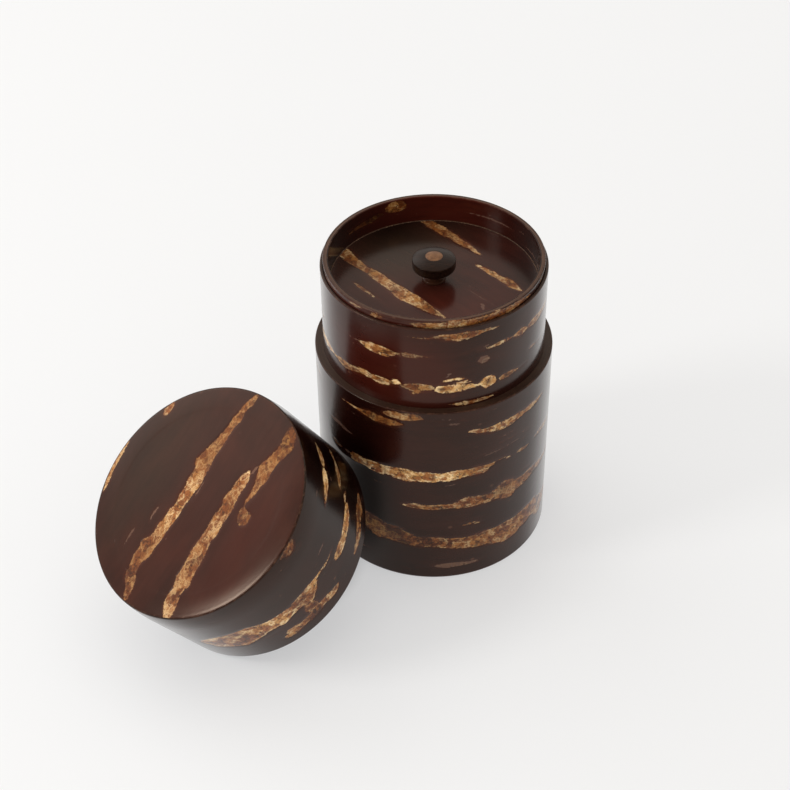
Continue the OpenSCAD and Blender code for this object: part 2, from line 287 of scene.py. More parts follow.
COLLAR = [
    streak([[-1.4, 103.2, 103.2], [1, 102.6, 104.1], [5, 101.9, 104.4], [8, 101.2, 104.6], [12, 101.6, 104.5], [15, 102.5, 104.1], [16.6, 103.3, 103.3]],
           [[-1, .5], [8, .6], [15, .45]]),
    streak([[-8.5, 102.9, 102.9], [-5, 102.5, 103.3], [-1, 102.5, 103.3], [1.5, 102.9, 102.9]], .7, .62),
    streak([[15, 103.4, 103.4], [17.5, 102.9, 104.2], [19.5, 103.0, 103.8], [22, 103.3, 103.3]], .8, .6),
    streak([[14, 95.9, 95.9], [18, 95.6, 96.4], [22.2, 95.6, 97.0], [25.2, 95.9, 97.0], [28.4, 96.4, 96.4]], .95, .7),
    streak([[27.2, 96, 96], [29, 95.2, 97.4], [31.3, 94.4, 98.0], [33.4, 95.2, 97.4], [35, 96, 96]], .6),
    streak([[34, 96, 96], [37, 94.9, 97.6], [40.5, 94.8, 97.8], [44, 95.0, 97.2], [48, 95, 97], [53, 95.6, 96.6], [58, 96.2, 96.2]], .6, .72),
    streak([[-39, 95.4, 95.4], [-32, 95.2, 95.7], [-27, 95.0, 95.6], [-24.5, 95.3, 95.3]], .5, .35),
    streak([[-25.8, 95.2, 95.2], [-24.6, 94.4, 96.0], [-22, 93.7, 96.9], [-18, 93.4, 97.1], [-15, 93.5, 96.9], [-13, 94.2, 96.2], [-11.6, 95.2, 95.2]], [[-25, .75], [-18, .85], [-13, .5]]),
    streak([[-13, 95.2, 95.2], [-10, 94.7, 96.5], [-7, 94.9, 96.5], [-4, 95.3, 96.2], [-0.5, 95.5, 95.5]], .5, .6),
    streak([[14.2, 92.0, 92.0], [14.9, 90.9, 93.1], [16.4, 90.2, 93.7], [17.9, 90.9, 93.1], [18.6, 92.0, 92.0]], .6, .5),
    streak([[-60, 81.8, 81.8], [-55, 81.0, 82.9], [-50, 80.7, 83.5], [-46.0, 80.8, 83.7], [-42.4, 81.2, 83.4], [-38.2, 81.4, 82.7], [-34.6, 80.6, 83.4], [-31.2, 80.6, 83.4], [-28.2, 81.6, 84.0], [-25.1, 82.3, 84.7], [-22.1, 82.2, 84.6], [-20.4, 82.6, 83.8]],
           [[-50, 1.05], [-44, 1.0], [-38, .75], [-32, .5], [-27, .6], [-22, .75]]),
    streak([[-21.4, 82.8, 82.8], [-20, 81.6, 84.4], [-17.5, 81.2, 84.6], [-14.6, 81.8, 84.2], [-13.4, 83, 83]], [[-20, .95], [-15, .9]]),
    streak([[-14.4, 83.4, 83.4], [-13.4, 82.4, 84.9], [-11.2, 82.9, 85.0], [-9.8, 83.6, 83.6]], 1.1),
    streak([[-11.6, 83.0, 83.0], [-8.4, 81.5, 84.2], [-5.8, 80.6, 84.6], [-3.4, 81.3, 84.7], [-1, 81.9, 84.5], [0.8, 83, 83]], .56),
    streak([[-7.2, 80.6, 80.6], [-6.4, 79.8, 81.2], [-5.6, 80.4, 80.4]], .6),
    streak([[0.2, 82.4, 82.4], [1, 80.9, 84.0], [3.2, 80.6, 84.2], [5.2, 80.7, 84.3], [8, 80.8, 84.1], [10.6, 81.4, 83.8], [13.4, 81.5, 83.2], [15.8, 81.6, 83.0]],
           [[0, 1.3], [6, 1.25], [10, 1.15], [14, 1.0]]),
    streak([[2.2, 85.2, 85.2], [4, 85.2, 86.4], [7, 85.7, 86.8], [10, 85.2, 86.1], [11.6, 85.2, 85.2]], 1.1, .95),
    streak([[3.4, 86.5, 86.5], [4.2, 86.8, 88.0], [5.2, 87.7, 89.4], [5.9, 89.7, 89.7]], .8, .4),
    streak([[5.6, 84.4, 84.4], [8, 84.1, 85.2], [11, 84.0, 84.9], [13.2, 84.1, 84.1]], 1.1, .9),
    streak([[14.8, 82.4, 82.4], [16.2, 80.6, 84.2], [18.4, 79.9, 84.6], [20.6, 80.8, 84.0], [21.6, 82.4, 82.4]], [[15, 1.15], [19, 1.2], [21, .95]]),
    streak([[22, 81.8, 81.8], [23.6, 80.9, 82.9], [26, 80.6, 82.9], [28.4, 81.0, 82.6], [31, 81.3, 82.2], [36, 81.6, 81.6]], [[22, .5], [27, .4], [33, .7]], .95),
    streak([[5.9, 79.6, 79.6], [6.4, 79.2, 80.0], [7, 79.6, 79.6]], .8),
    streak([[4.2, 75.9, 75.9], [7, 75.2, 76.5], [11, 75.0, 76.7], [16, 75.2, 76.6], [20, 75.5, 76.2], [22, 75.9, 75.9]], .62, .95),
    streak([[-31.6, 79.9, 79.9], [-30.8, 79.4, 80.4], [-29.9, 79.9, 79.9]], .5, .6),
    streak([[35.6, 86.4, 86.4], [37, 85.9, 87.0], [39, 85.8, 87.0], [41, 86.3, 86.3]], .9, .5),
    streak([[40, 85.9, 85.9], [46, 84.8, 86.0], [52, 84.4, 84.4]], .4, .3),
    spindle(rng, -104, -58, 97.5, 3.4, 1.5),
    spindle(rng, -112, -66, 86.0, 3.8, -1.0),
    spindle(rng, 62, 112, 90.5, 4.0, 1.5),
    spindle(rng, 66, 100, 79.5, 2.6, 0.5),
    spindle(rng, 72, 110, 101.5, 2.2, -0.6),
    spindle(rng, -66, -46, 90.0, 2.0, 0.4),
]
COLLAR = widen(COLLAR, 0.13)
COLLAR += flecks(rng, 26, (-114, 114), (76, 105), near=COLLAR)

RING_OUT = [
    streak([[-9, 107.2, 107.2], [-5, 106.2, 108.1], [0, 105.6, 108.4], [6, 105.2, 108.7], [12, 104.9, 108.8], [18, 105.0, 108.8], [24, 105.4, 108.7], [30, 105.9, 108.4], [34, 106.4, 107.9], [38, 107, 107]],
           [[-8, .45], [10, .6], [24, .5], [36, .4]]),
    streak([[-21.6, 107.2, 107.2], [-19.8, 106.5, 108.3], [-17.6, 106.6, 108.2], [-15.8, 107.3, 107.3]], .8, .66),
    streak([[-30.4, 107.8, 107.8], [-28, 107.0, 108.5], [-25.5, 107.2, 108.4], [-23.8, 107.8, 107.8]], 1.0, .55),
    streak([[-50, 107.4, 107.4], [-46, 106.8, 108.2], [-38, 107.0, 108.2], [-35, 107.6, 107.6]], .8, .45),
    streak([[40, 107.3, 107.3], [46, 106.7, 107.9], [53, 107.2, 107.2]], .5, .6),
    spindle(rng, -70, -30, 101.0, 3.2, 1.0),
    spindle(rng, -108, -76, 104.5, 3.0, 0.8),
    spindle(rng, -24, 30, 99.0, 2.6, -0.8),
    spindle(rng, 50, 104, 100.5, 3.6, 1.0),
    spindle(rng, 56, 84, 106.4, 2.2, 0.3),
    spindle(rng, -100, -50, 96.8, 1.8, 0.3),
]
RING_OUT += flecks(rng, 24, (-110, 110), (95.5, 107.5), near=RING_OUT)

RING_INSIDE = [
    streak([[9.2, 106, 106], [10.6, 104.1, 108.1], [12.4, 103.6, 108.5], [14.6, 103.5, 108.4], [16.4, 104.1, 107.5], [17.8, 105.4, 105.4]], [[9, .3], [13, .4], [17, .2]]),
    streak([[17, 104.4, 104.4], [20, 103.0, 105.4], [25, 102.4, 104.8], [31, 102.6, 104.2], [36, 103.2, 103.2]], -.2, .66),
    streak([[3.0, 107.9, 107.9], [5, 107.6, 108.3], [7.4, 107.9, 107.9]], .9, .5),
    streak([[-12.4, 106.4, 106.4], [-11, 106.1, 106.8], [-9.4, 106.4, 106.4]], 1.0, .6),
    streak([[-15.6, 106.0, 106.0], [-14.6, 105.8, 106.2], [-13.6, 106.0, 106.0]], 1.0, .5),
    streak([[-21, 104.8, 104.8], [-19.6, 104.5, 105.2], [-18.4, 104.9, 104.9]], .8, .35),
    streak([[-30, 103.2, 103.2], [-24, 102.7, 103.8], [-16, 102.9, 103.7], [-10, 103.4, 103.4]], .05, .35),
    spindle(rng, 74, 100, 103.5, 3.0, 1.0),
    spindle(rng, -100, -64, 105.0, 2.8, 0.5),
    spindle(rng, -70, -34, 100.8, 1.6, 0.3, 0.1, 0.5),
    spindle(rng, 78, 96, 100.8, 1.4, -0.3, 0.2, 0.6),
]
RING_INSIDE += flecks(rng, 10, (-104, 104), (99.5, 107.5), near=RING_INSIDE)

DISC = [
    streak([[-33.5, 21.5, 21.5], [-30.4, 19.3, 23.2], [-27, 19.5, 23.6], [-24, 19.2, 23.5], [-20.5, 19.5, 23.8], [-16.2, 19.3, 23.5], [-13.5, 19.9, 23.6], [-11.0, 19.5, 23.0], [-7.1, 19.8, 22.8], [-4.6, 20.2, 22.2], [-2.5, 20.0, 21.9], [0, 20.3, 21.3], [1.8, 20.7, 20.7]],
           [[-30, .45], [-26, .3], [-20, .4], [-15, .3], [-10, .45], [0, .6]]),
    streak([[2.6, 16.0, 16.0], [4.4, 15.0, 16.9], [8, 15.1, 17.2], [11.1, 14.8, 17.4], [13.6, 15.1, 17.0], [15.6, 14.6, 18.1], [18, 14.6, 18.2], [20.2, 14.5, 17.9], [22.6, 15.1, 17.2], [24.6, 16.2, 16.2]], [[3, .9], [10, .95], [14, .5], [18, .45], [24, .7]]),
    streak([[-34.5, -11, -11], [-32.6, -13.9, -8.9], [-29.8, -14.3, -9.3], [-26.9, -14.6, -10.0], [-23.9, -14.6, -10.4], [-20.4, -14.2, -11.0], [-18.0, -14.2, -10.7], [-15.0, -14.3, -10.2], [-12.0, -14.6, -10.0], [-9.0, -15.0, -10.4], [-6.1, -15.3, -10.6], [-3.1, -15.6, -10.4], [-0.1, -16.1, -10.2], [2.8, -15.6, -10.0], [5.8, -15.0, -10.2], [8.8, -14.5, -10.3], [11.7, -14.1, -10.6], [15, -13.2, -11.0], [18.6, -12, -12]],
           [[-32, .7], [-22, .35], [-16, .55], [-8, .65], [-4, .5], [3, .85], [9, .5], [17, .5]]),
    streak([[-16.6, -20.3, -20.3], [-15, -21.2, -19.6], [-12.6, -21.6, -19.6], [-9.6, -21.4, -19.9], [-6.4, -21.4, -20.2], [-4.6, -20.8, -20.8]], .7, .8),
    streak([[-4.4, -20.9, -20.9], [-2, -21.2, -20.5], [1, -21.3, -21.3]], .4, .35),
    streak([[19.6, 1.6, 1.6], [21, .6, 2.6], [22.4, -.4, 1.6], [23.6, 0, 0]], .7, .38),
    streak([[4, -24.6, -24.6], [8, -25.2, -24.2], [13, -25, -24.2], [17, -24.5, -24.5]], .15, .35),
    streak([[14.4, -12.4, -12.4], [18, -12.8, -11.8], [23, -12.4, -12.4]], .4, .3),
    streak([[10, 4.2, 4.2], [16, 3.6, 4.6], [22, 3.9, 4.6], [27, 4.4, 4.4]], .05, .25),
]
DISC += flecks(rng, 10, (-30, 30), (-28, 30), near=DISC)

LID_TOP = [
    streak([[-35.5, 17.6, 17.6], [-33.9, 16.6, 20.4], [-31.1, 16.4, 21.7], [-28.2, 17.0, 22.6], [-25.2, 16.7, 21.6], [-22.2, 15.6, 20.8], [-19.2, 14.7, 20.3], [-16.3, 15.2, 20.6], [-13.3, 16.5, 19.7], [-10.3, 17.1, 19.5], [-7.3, 17.0, 18.5], [-5.0, 17.6, 18.4], [-4.2, 18, 18]],
           [[-34, .1], [-22, .25], [-10, .35], [-5, .3]]),
    streak([[-5.4, 18.0, 18.0], [-4.5, 17.0, 22.0], [-2.4, 17.3, 22.5], [-0.6, 18.0, 22.2], [0.5, 20.0, 20.0]], .30, .8),
    streak([[7.4, -11.4, -11.4], [9, -12.6, -11.5], [11.5, -12.7, -11.7], [14, -11.6, -11.6]], .8, .42),
    streak([[-8, -1.3, -1.3], [-4, -1.5, -.7], [1, -1.2, -1.2]], .1, .5),
    streak([[-18.8, 14.2, 14.2], [-17.6, 13.4, 14.6], [-15.5, 13.2, 14.2], [-14.2, 13.5, 13.5]], .1, .5),
    streak([[-16.6, 12.4, 12.4], [-13.9, 10.5, 14.0], [-10.9, 9.7, 14.3], [-8.0, 9.7, 14.1], [-5.1, 9.0, 14.5], [-2.1, 9.8, 14.8], [0.8, 9.4, 14.5], [3.7, 9.3, 14.5], [6.7, 9.4, 14.7], [9.6, 9.4, 14.1], [12.5, 9.0, 14.9], [15.5, 8.8, 15.2], [18.4, 9.3, 15.3], [21.3, 9.5, 15.4], [24.3, 9.3, 16.1], [27.2, 10.6, 14.9], [30.1, 10.1, 15.6], [33.1, 10.8, 16.1], [35.8, 12.4, 15.6], [37.6, 14, 14]],
           [[-16, .75], [-10, .45], [-4, .35], [4, .5], [12, .42], [20, .35], [28, .45], [36, .55]]),
    streak([[-39.4, -1.4, -1.4], [-38.1, -2.6, -0.5], [-35.2, -3.7, -0.4], [-32.2, -4.2, -1.8], [-29.1, -5.0, -1.2], [-26.1, -5.2, -1.9], [-23.0, -5.8, -2.2], [-20.0, -6.4, -2.1], [-16.9, -7.4, -2.3], [-13.9, -8.3, -2.5], [-10.8, -9.1, -2.0], [-7.8, -7.5, -2.0], [-4.7, -7.7, -1.4], [-1.7, -7.3, -2.0], [1.4, -7.4, -2.3], [4.4, -6.8, -2.6], [7.5, -7.8, -2.4], [10.5, -7.8, -2.9], [13.6, -8.5, -3.4], [16.6, -8.2, -3.4], [19.7, -10.5, -3.8], [22.7, -10.0, -3.8], [25.8, -10.2, -5.2], [28.8, -9.4, -5.2], [31.9, -8.9, -3.4], [34.9, -6.4, -2.6], [38, -4.8, -2.8], [39.4, -4, -4]],
           [[-38, .35], [-24, .3], [-12, .3], [-2, .62], [8, .65], [16, .4], [26, .25], [38, .35]]),
    streak([[-24.4, -30.5, -30.5], [-22.6, -31.7, -29.2], [-20, -32.4, -29.3], [-18, -31, -31]], .6, .9),
    streak([[-7, -38.4, -38.4], [-4, -38.9, -37.6], [0, -39, -37.1], [4, -38.8, -36.9], [8, -38.0, -36.1], [11, -37.2, -35.6], [13.4, -36, -36]], .6, .95),
    streak([[17.6, -15.6, -15.6], [20, -16.4, -15.2], [23, -16.1, -15.3], [25, -15.5, -15.5]], .2, .3),
]
LID_TOP += flecks(rng, 5, (-34, 34), (-33, 33), near=LID_TOP)

LID_WALL = [
    streak([[64.8, 38.6, 38.6], [66.5, 37.8, 39.2], [67.6, 37.0, 39.3], [68.9, 36.1, 39.3], [70.2, 35.6, 39.3], [71.5, 35.6, 39.2], [72.8, 36.5, 39.2], [74.4, 38.4, 38.4]], .4),
    streak([[88.6, 27.4, 27.4], [91.4, 26.8, 28.6], [94.4, 26.0, 29.0], [97.5, 25.6, 29.6], [100.0, 25.7, 29.4], [101.8, 26.4, 29.0], [102.6, 27.6, 27.6]], [[88, .8], [95, .8], [99, 1.15]]),
    streak([[102.2, 27.6, 27.6], [103.2, 26.4, 29.2], [106.0, 25.8, 29.4], [108.6, 26.2, 29.2], [110.4, 26.8, 28.6], [114, 27.8, 27.8]], .8),
    streak([[19.2, 15.6, 15.6], [21.1, 13.8, 18.2], [24, 11.7, 19.9], [30.0, 10.9, 22.0], [35.0, 10.4, 22.4], [40.0, 11.9, 22.8], [45, 13.3, 20.5], [50, 12.8, 19.6], [54, 13.6, 19.2], [58, 13.4, 19.6], [61, 11.6, 19.6], [65, 14.2, 19.4], [67.6, 16.8, 19.0], [69, 17.8, 17.8]],
           [[20, .8], [28, .62], [36, .5], [42, .75], [50, .85], [53, .85], [58, .45], [64, .55], [70, .9]]),
    streak([[56.8, 10, 10], [58, 7.5, 13.5], [60, 7, 14], [61, 7.5, 13], [62, 10, 10]], .35),
    streak([[44, 5, 5], [46, 4.0, 6.4], [48, 3.6, 8.4], [53, 4.4, 7.9], [59, 4.2, 8.7], [63, 4.9, 8.2], [67, 3.7, 7.5], [70.8, 5.8, 5.8]], [[44, .6], [54, .45], [59, .25], [62, .5], [70, .55]]),
    streak([[67, 18.2, 18.2], [69, 17.4, 18.7], [73, 16.9, 18.0], [77.9, 16.9, 16.9]], .85, .9),
    streak([[72, 15.6, 15.6], [74, 15.0, 15.8], [76.4, 14.8, 14.8]], .7, .6),
    streak([[75.6, 13.4, 13.4], [76.8, 12.0, 14.9], [79.5, 11.3, 15.3], [83, 11.4, 14.9], [87, 11.1, 15.1], [91, 11.4, 15.0], [94.5, 12.2, 14.6], [96, 13.3, 13.3]], [[76, .6], [82, .7], [86, .95], [95, .8]]),
    streak([[94.6, 14.7, 14.7], [96.5, 14.0, 15.7], [98.6, 13.7, 14.8], [99.6, 14, 14]], .75),
    streak([[97.6, 18.0, 18.0], [100.3, 16.6, 18.7], [102.0, 16.2, 18.6], [103.7, 15.7, 18.6], [105.4, 15.3, 18.6], [107.1, 15.4, 18.0], [110, 15.4, 17.2], [113.5, 15, 17], [117.3, 14.3, 14.3]], .85, .75),
    streak([[80.6, 4.2, 4.2], [82.3, 3.2, 5], [85.1, 2.7, 5.5], [88.2, 2.6, 6.1], [91.2, 2.8, 6.7], [94.2, 2.9, 7.0], [97.2, 2.5, 6.6], [100.3, 2.9, 5.4], [104.1, 4, 4]], .5, .85),
        spindle(rng, -30, 8, 29.0, 4.0, 2.0),
    spindle(rng, -60, -10, 9.0, 5.0, 1.5),
    spindle(rng, -112, -58, 20.0, 5.6, 2.0),
    spindle(rng, -90, -44, 32.5, 3.0, -1.0),
    spindle(rng, -122, -84, 7.0, 3.4, 0.6),
    spindle(rng, -6, 16, 20.5, 2.4, 0.5),
    spindle(rng, -46, -20, 22.5, 2.2, -0.6),
]
LID_WALL += flecks(rng, 30, (-122, 122), (2, 37.5), near=LID_WALL)


def made_up(seed, half, t0, t1, count, tall, small):
    """Streaks for a sheet that isn't shown in the reference arrangement."""
    g = np.random.default_rng(seed)
    rows = np.linspace(t0, t1, count + 2)[1:-1]
    out = []
    for i, t in enumerate(rows):
        length = g.uniform(0.35, 0.8) * half
        mid = g.uniform(-half + length * 0.55, half - length * 0.55)
        out.append(spindle(g, mid - length / 2, mid + length / 2,
                           t + g.normal(0, 1), tall * g.uniform(0.5, 1.3), g.normal(0, 1.2)))
        if length < half * 0.9:
            m2 = mid + (half if mid < 0 else -half) * g.uniform(0.8, 0.95)
            l2 = g.uniform(0.15, 0.4) * half
            out.append(spindle(g, m2 - l2 / 2, m2 + l2 / 2, t + g.normal(0, 1.5),
                               tall * g.uniform(0.3, 0.8), g.normal(0, 0.8)))
    return out + flecks(g, small, (-half + 2, half - 2), (t0 + 1, t1 - 1), near=out)


LINER = made_up(31, math.pi * TEA_R, 4, 94, 7, 4.2, 70)
LINING = made_up(37, math.pi * LID_IN, 0, 36.5, 4, 3.6, 40)


def made_up_disc(seed, radius, count, tall, small):
    g = np.random.default_rng(seed)
    out = []
    for t in np.linspace(-radius, radius, count + 2)[1:-1]:
        chord = math.sqrt(max(radius ** 2 - t ** 2, 1.0))
        a = g.uniform(-chord, -chord * 0.2)
        b = g.uniform(chord * 0.25, chord + 6)
        out.append(spindle(g, a, b, t + g.normal(0, 2), tall * g.uniform(0.5, 1.3), g.normal(0, 1.5)))
    return out + flecks(g, small, (-radius, radius), (-radius, radius), near=out)


BOTTOM_STREAKS = made_up_disc(41, 39.5, 5, 4.8, 26)
FLOOR_STREAKS = made_up_disc(43, 34.3, 4, 4.2, 20)
UNDER_STREAKS = made_up_disc(47, 34.0, 4, 4.0, 20)
CEILING_STREAKS = made_up_disc(53, 37.2, 4, 4.4, 22)


# ------------------------------------------------------------------- meshes
def signed_volume(V, F):
    a, b, c, d = (V[F[:, i]] for i in range(4))
    return (np.einsum("ij,ij->i", a, np.cross(b, c)).sum()
            + np.einsum("ij,ij->i", a, np.cross(c, d)).sum())


def glow(spots, S, T):
    """Where a sheet is redder (above 0) or greyer (below 0) than the rest."""
    out = np.zeros(len(S))
    for s0, t0, rs, rt, amount in spots:
        out += amount * np.exp(-(((S - s0) / rs) ** 2 + ((T - t0) / rt) ** 2))
    return np.clip(out, -1, 1)


# Redder (above 0) or greyer (below 0) patches: partly the bark's own hue, partly painted reflection, as the olive-grey
# left and red-brown right of the sunk disc
WARM = {
    "body_bark_sheet": [(-14, 48, 13, 30, 0.6), (20, 8, 30, 8, -0.3)],
    "collar_bark_sheet": [(-20, 88, 24, 18, 1.0), (-2, 88, 16, 14, 0.5), (24, 96, 14, 14, -0.3)],
    "inner_lid_outer_sheet": [(-20, 106, 30, 6, 0.8)],
    "inner_lid_inner_sheet": [(0, 104, 40, 20, 1.0)],
    "lid_top_sheet": [(4, 24, 36, 12, 0.45), (0, 2, 40, 8, 0.25), (0, -24, 44, 15, -0.5)],
    "inner_lid_disc_sheet": [(-20, 4, 20, 26, -0.9), (18, -3, 20, 22, 0.35)],
    "lid_bark_sheet": [(52, 26, 40, 14, -0.4)],
}
# painted shade: where a sheet is darkened for shade and for the dark things it mirrors, such as the lid beside the body
# and the dark sides inside the ring
PAINTED_SHADE = {
    "body_bark_sheet": [(-24, 54, 13, 26, 0.7), (-22, 24, 11, 24, 0.9)],
    "inner_lid_inner_sheet": [(58, 103, 34, 30, 0.9), (-54, 103, 34, 30, 0.85), (26, 103, 16, 30, 0.2)],
    "inner_lid_disc_sheet": [(-30, 10, 14, 18, 0.8), (24, 26, 14, 10, 0.7)],
    "lid_bark_sheet": [(103, 22, 23, 40, 1.0)],
}
CORES = {
    "body_bark_sheet": [(0.2, 47.4, 0.35, 2.8, 1.0), (-23.2, 47.4, 0.4, 2.6, 1.0), (-16.3, 47.2, 0.3, 1.8, 0.7),
                        (25.5, 34.5, 3.0, 2.2, 0.45), (-14, 19.6, 2.4, 1.8, 0.5), (10.6, 47.6, 0.3, 1.6, 0.8)],
    "collar_bark_sheet": [(2.7, 82.4, 1.5, 0.85, 1.0), (18.4, 82.2, 1.2, 1.2, 0.9), (-17.6, 82.9, 1.9, 0.65, 0.9),
                          (26.2, 81.7, 1.5, 0.7, 0.9), (31.2, 96.2, 1.2, 0.9, 0.6), (-15.4, 94.8, 0.9, 0.5, 0.9),
                          (-35, 82, 1.6, 0.5, 0.6), (8.6, 82.3, 1.3, 0.4, 0.5)],
    "lid_bark_sheet": [(78.7, 13.2, 0.9, 0.9, 0.9), (94.6, 5.0, 2.4, 1.1, 1.0), (83, 12.9, 0.4, 1.3, 0.6),
                       (68.8, 38.2, 1.5, 1.2, 0.5)],
    "lid_top_sheet": [(17.0, 12.6, 1.7, 1.3, 0.45), (29.5, 12.6, 1.8, 1.2, 0.4), (-12.6, -5.2, 1.4, 0.9, 0.5),
                      (3.0, -4.6, 1.2, 0.8, 0.4), (21.6, -6.6, 1.6, 1.4, 0.4)],
}


def mood(name, s, t):
    """Redness (partly painted reflection), painted shade and dark cores of a sheet, where they are known."""
    return np.column_stack([glow(part.get(name, ()), s, t) for part in (WARM, PAINTED_SHADE, CORES)])


def finish_mesh(name, V, quads, tris, attrs, place=None, angle=32.0):
    """Makes the object from arrays in mm, in the row frame in metres."""
    P = V * 1.0
    if place is not None:
        m = np.array(place)
        P = P @ m[:3, :3].T + m[:3, 3]
    quads = np.asarray(quads, np.int64).reshape(-1, 4)
    tris = np.asarray(tris, np.int64).reshape(-1, 3)
    full = np.concatenate([quads, np.column_stack([tris, tris[:, 2]])]) if len(tris) else quads
    if signed_volume(V, full) < 0:
        quads, tris = quads[:, ::-1], tris[:, ::-1]
    loops = np.concatenate([quads.ravel(), tris.ravel()]).astype(np.int32)
    starts = np.concatenate([
        np.arange(len(quads)) * 4, len(quads) * 4 + np.arange(len(tris)) * 3
    ]).astype(np.int32)
    me = bpy.data.meshes.new(name)
    me.vertices.add(len(P))
    me.vertices.foreach_set("co", (P * MM).astype(np.float32).ravel())
    me.loops.add(len(loops))
    me.loops.foreach_set("vertex_index", loops)
    me.polygons.add(len(starts))
    me.polygons.foreach_set("loop_start", starts)
    me.update(calc_edges=True)
    me.validate()
    me.polygons.foreach_set("use_smooth", np.ones(len(me.polygons), bool))
    me.set_sharp_from_angle(angle=math.radians(angle))
    for key, value in attrs.items():
        value = np.asarray(value, np.float32)
        if value.ndim == 2:
            a = me.attributes.new(key, "FLOAT_VECTOR", "POINT")
            a.data.foreach_set("vector", value.ravel())
        else:
            a = me.attributes.new(key, "FLOAT", "POINT")
            a.data.foreach_set("value", value)
    ob = bpy.data.objects.new(name, me)
    bpy.context.scene.collection.objects.link(ob)
    return ob


def line(p, q, step):
    """Points from p up to, but without, q."""
    p, q = np.array(p, float), np.array(q, float)
    n = max(1, int(round(np.linalg.norm(q - p) / step)))
    return [tuple(p + (q - p) * i / n) for i in range(n)]


def arc(c, r, a0, a1, n):
    """Points of an arc from a0 to a1 degrees, with both ends."""
    return [(c[0] + r * math.cos(math.radians(a0 + (a1 - a0) * i / n)),
             c[1] + r * math.sin(math.radians(a0 + (a1 - a0) * i / n))) for i in range(n + 1)]


def bez(p0, p1, p2, p3, n):
    out = []
    for i in range(n):
        t = i / n
        u = 1 - t
        out.append(tuple(u ** 3 * np.array(p0) + 3 * u * u * t * np.array(p1)
                         + 3 * u * t * t * np.array(p2) + t ** 3 * np.array(p3)))
    return out


def ring_points(prof, n, start):
    prof = np.array(prof, float)
    th = start + np.arange(n) * (2 * math.pi / n)
    r = np.repeat(prof[:, 0], n)
    z = np.repeat(prof[:, 1], n)
    t = np.tile(th, len(prof))
    return r, t, z


def ring_faces(m, n, closed=True):
    i = np.arange(m if closed else m - 1)
    j = np.arange(n)
    a = (i[:, None] * n + j[None]).ravel()
    b = (i[:, None] * n + (j[None] + 1) % n).ravel()
    i2 = (i + 1) % m
    c = (i2[:, None] * n + (j[None] + 1) % n).ravel()
    d = (i2[:, None] * n + j[None]).ravel()
    return np.column_stack([a, b, c, d])


def wrap(a):
    return (a + math.pi) % (2 * math.pi) - math.pi


def sheet_attrs(streaks, S, T, coords, rim, seed):
    sd, tone, strength = field(streaks, S, T)
    n = vnoise(coords * 0.35, seed)
    return {
        "sheet": coords,
        "streak": sd,
        "tint": np.column_stack([tone, strength, n]),
        "rim": rim,
    }


def relief_depth(coords, stretch, sd, strength, seed):
    """Depth in mm, never negative, that a point lies below the sheet's nominal face."""
    p = coords * np.array(stretch)
    wave = vnoise(p * 0.055, seed + 1) * 0.030 + vnoise(p * 0.16, seed + 2) * 0.012
    inside = smooth(-0.35, 0.45, sd) * strength
    grit = vnoise(p * np.array([0.7, 0.7, 0.7]), seed + 3)
    fine = vnoise(coords * 1.1, seed + 4)
    return wave + inside * (0.030 + 0.055 * grit + 0.02 * fine) + 0.004 * fine


def wall_sheet(name, prof, n, front, radius, streaks, seed, seam, face, place=None,
               inner=False, rims=(), gap=0.10):
    """A sheet of bark bent round into a tube. prof is its closed section and
    face the pair of radii between which its shown side lies."""
    r, t, z = ring_points(prof, n, seam)
    s = wrap(t - front) * radius
    if not inner:
        cut = wrap(seam - front) * radius
    else:
        cut = wrap(seam - front) * radius
    coords = np.column_stack([r * np.cos(t), r * np.sin(t), z])
    flat = np.column_stack([radius * np.cos(t), radius * np.sin(t), z])
    sd, tone, strength = field(streaks, s, z)
    shown = (r > face[0]) & (r < face[1])
    depth = relief_depth(flat, (0.6, 0.6, 1.0), sd, strength, seed)
    half = math.pi * radius
    to_seam = np.abs(((s - cut + half) % (2 * half)) - half)
    depth = depth + gap * smooth(0.55, 0.05, to_seam)
    edge = np.full(len(z), 9.0)
    for zr in rims:
        edge = np.minimum(edge, np.abs(z - zr))
    depth = depth * np.where(shown, 1, 0) * smooth(0.0, 0.6, edge)
    rr = r + depth if inner else r - depth
    V = np.column_stack([rr * np.cos(t), rr * np.sin(t), z])
    attrs = {
        "sheet": flat,
        "streak": sd,
        "tint": np.column_stack([tone, strength, smooth(1.2, 0.1, to_seam)]),
        "rim": edge,
        "mood": mood(name, s, z),
    }
    return finish_mesh(name, V, ring_faces(len(prof), n), [], attrs, place)


def turned(angle, X, Y):
    c, s = math.cos(angle), math.sin(angle)
    return X * c + Y * s, -X * s + Y * c


def disc_square(N):
    """A grid of a square mapped to a round disc of radius 1, and its rim in order."""
    g = np.linspace(-1, 1, N + 1)
    a, b = np.meshgrid(g, g, indexing="ij")
    a, b = a.ravel(), b.ravel()
    big = np.abs(a) >= np.abs(b)
    with np.errstate(divide="ignore", invalid="ignore"):
        f1 = np.where(a != 0, b / np.where(a == 0, 1, a), 0)
        f2 = np.where(b != 0, a / np.where(b == 0, 1, b), 0)
    rr = np.where(big, a, b)
    ph = np.where(big, math.pi / 4 * f1, math.pi / 2 - math.pi / 4 * f2)
    x, y = rr * np.cos(ph), rr * np.sin(ph)
    idx = np.arange((N + 1) ** 2).reshape(N + 1, N + 1)
    quads = np.column_stack([idx[:-1, :-1].ravel(), idx[1:, :-1].ravel(), idx[1:, 1:].ravel(), idx[:-1, 1:].ravel()])
    rim = np.concatenate([idx[N, :-1], idx[1:, N][::-1], idx[0, 1:][::-1], idx[:-1, 0]])
    return x, y, quads, rim


